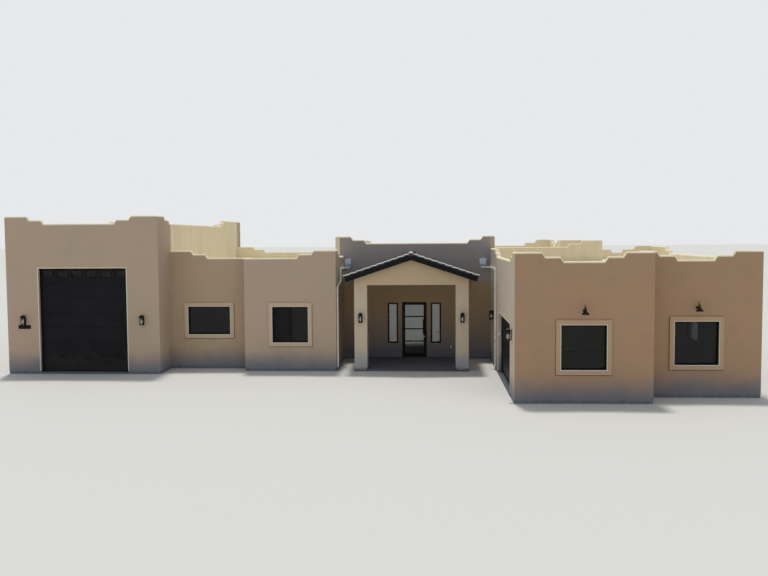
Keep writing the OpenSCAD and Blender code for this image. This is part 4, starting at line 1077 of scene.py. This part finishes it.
for points in islands("conductor_heads"):
    lo, hi = span(points)
    place = wall_place((lo.x + hi.x) / 2, hi.y, hi.z)
    half, depth = (hi.x - lo.x) / 2, hi.y - lo.y
    rim_side = half + RIM_OUT
    rims.bar((-rim_side, -depth - RIM_OUT, RIM_FOOT), (rim_side, -depth - RIM_NEAR, RIM_TOP), place, 0.003)
    arc = [(half * math.cos(a), LID_RISE * math.sin(a))
           for a in (math.pi * k / LID_STEPS for k in range(LID_STEPS + 1))]
    rims.prism(arc, -depth, -0.001, place @ Matrix.Rotation(math.pi / 2, 4, "Z"))
    for side in (-1, 1):
        rims.bar((side * rim_side, -depth, RIM_FOOT),
                 (side * (half + RIM_NEAR), -0.001, RIM_TOP), place, 0.003)
        rivet_x = side * half * 0.8
        rims.bar((rivet_x - RIVET_HALF, -depth - 0.004, -0.14),
                 (rivet_x + RIVET_HALF, -depth - RIM_NEAR, -0.124), place, 0.003)
straps.done("downspout_straps", WHITE_SHEET, "white_sheet_metal")
rims.done("conductor_head_rims", GREY_SHEET, "grey_sheet_metal")


# Keypad on the side door's far reveal

KEYPAD_IN = 0.09
KEYPAD_UP = 1.55
KEY_STEP_X = 0.021
KEY_STEP_Z = 0.024
KEY_HALF = 0.007

keypad = Shape()
keypad_place = wall_place(X_WING + KEYPAD_IN, high("side_door").y - DOOR_LAP, KEYPAD_UP)
keypad.bar((-0.04, -0.028, 0), (0.04, -0.001, 0.13), keypad_place, 0.006)
for row in range(4):
    for column in range(3):
        x, z = (column - 1) * KEY_STEP_X, KEY_STEP_Z + row * KEY_STEP_Z
        keypad.bar((x - KEY_HALF, -0.031, z - KEY_HALF), (x + KEY_HALF, -0.027, z + KEY_HALF), keypad_place)
keypad.done("door_keypad", WHITE_SHEET, "white_sheet_metal")


# Camera dome on the bay's side

DOME_BACK = 1.31
DOME_UP = 4.69
DOME_BASE = [(0, 0.0005), (0.055, 0.0005), (0.055, 0.018), (0.05, 0.022), (0, 0.022)]
DOME_LENS = [(0.046, 0.02), (0.045, 0.034), (0.038, 0.05), (0.026, 0.062), (0.012, 0.068), (0, 0.069)]

dome = Shape()
dome_place = wall_place(X_COURT, Y_BAY + DOME_BACK, DOME_UP, 90) @ OUT_OF_WALL
for profile in (DOME_BASE, DOME_LENS):
    dome.turned(profile, dome_place, 32)
dome.done("parapet_camera_dome", WHITE_SHEET, "white_sheet_metal")


# Outlet cover in the porch, screws of the plate at the tall door

COVER_IN = 0.008
SCREW_IN = 0.014
SCREW = [(0, 0.003), (0.003, 0.0028), (0.005, 0.0005), (0.005, 0), (0, 0)]

screws, covers = Shape(), Shape()
for points in islands("wall_plates"):
    lo, hi = span(points)
    if lo.x > X_COURT:
        covers.bar((lo.x + COVER_IN, lo.y - 0.032, lo.z + COVER_IN),
                   (hi.x - COVER_IN, lo.y + 0.001, hi.z - COVER_IN), bevel=0.008)
        covers.bar((lo.x + 0.014, lo.y - 0.036, lo.z + 0.012), (hi.x - 0.014, lo.y - 0.03, lo.z + 0.024))
        continue
    for x in (lo.x + SCREW_IN, hi.x - SCREW_IN):
        for z in (lo.z + SCREW_IN, hi.z - SCREW_IN):
            screws.turned(SCREW, Matrix.Translation((x, lo.y, z)) @ OUT_OF_WALL, 12)
screws.done("wall_plate_screws", BLACK_METAL, "black_metal")
covers.done("outlet_cover", GREY_SHEET, "grey_sheet_metal")


# Stage: floor, background, light and camera

BACKDROP = (0.80, 0.81, 0.82, 1.0)
FLOOR_GREY = (0.62, 0.615, 0.60, 1.0)
FLOOR_HALF = 450.0
FLOOR_DOWN = 0.002
SKY_COLOUR = (0.88, 0.95, 1.0, 1.0)
SKY_STRENGTH = 0.55
SUN_COLOUR = (1.0, 0.96, 0.89)
SUN_STRENGTH = 2.15
SUN_ANGLE = math.radians(6)
TO_SUN = Vector((-0.05, 0.27, 1.0))

floor_mesh = bpy.data.meshes.new("floor")
floor_corners = [(x * FLOOR_HALF, y * FLOOR_HALF, 0) for x, y in ((-1, -1), (1, -1), (1, 1), (-1, 1))]
floor_mesh.from_pydata(floor_corners, [], [(0, 1, 2, 3)])
floor = bpy.data.objects.new("floor", floor_mesh)
floor.location.z = -FLOOR_DOWN
floor_mesh.materials.append(Paint("pale_floor", Roughness=0.9, Specular_IOR_Level=0.1).done(FLOOR_GREY))
bpy.context.scene.collection.objects.link(floor)

# The world lights the object as a pale sky, and shows as a plain backdrop, also in metal and glass
scene = bpy.context.scene
world = bpy.data.worlds.new("studio")
scene.world = world
world.use_nodes = True
sky = Nodes(world.node_tree)
sky.nodes.clear()
rays = sky.add("ShaderNodeLightPath").outputs
through = sky.math("MAXIMUM", rays["Is Glossy Ray"], rays["Is Transmission Ray"])
seen = sky.math("MAXIMUM", rays["Is Camera Ray"], through)
ambient = sky.add("ShaderNodeBackground", {"Color": SKY_COLOUR, "Strength": SKY_STRENGTH}).outputs[0]
plain = sky.add("ShaderNodeBackground", {"Color": BACKDROP}).outputs[0]
chosen = sky.add("ShaderNodeMixShader", {0: seen, 1: ambient, 2: plain}).outputs[0]
sky.add("ShaderNodeOutputWorld", {0: chosen})

key = bpy.data.lights.new("key", "SUN")
key.energy = SUN_STRENGTH
key.color = SUN_COLOUR
key.angle = SUN_ANGLE
key_light = bpy.data.objects.new("key", key)
key_light.rotation_euler = TO_SUN.to_track_quat("Z", "Y").to_euler()
scene.collection.objects.link(key_light)

CAMERA_AT = Vector((2.9135, -37.326, 5.525))
YAW, PITCH, ROLL = -0.0508, 0.0616, 0.0064
FOCAL_LENGTH = 38.70
SENSOR_WIDTH = 36.0

ahead = Vector((math.sin(YAW) * math.cos(PITCH), math.cos(YAW) * math.cos(PITCH), -math.sin(PITCH)))
level_right = Vector((math.cos(YAW), -math.sin(YAW), 0))
level_up = level_right.cross(ahead)
right = level_right * math.cos(ROLL) - level_up * math.sin(ROLL)
up = level_up * math.cos(ROLL) + level_right * math.sin(ROLL)
lens = bpy.data.cameras.new("camera")
lens.lens = FOCAL_LENGTH
lens.sensor_width = SENSOR_WIDTH
lens.clip_end = 1000.0
camera = bpy.data.objects.new("camera", lens)
camera.matrix_world = Matrix.Translation(CAMERA_AT) @ Matrix((right, up, -ahead)).transposed().to_4x4()
scene.collection.objects.link(camera)
scene.camera = camera
scene.view_settings.view_transform = "Standard"
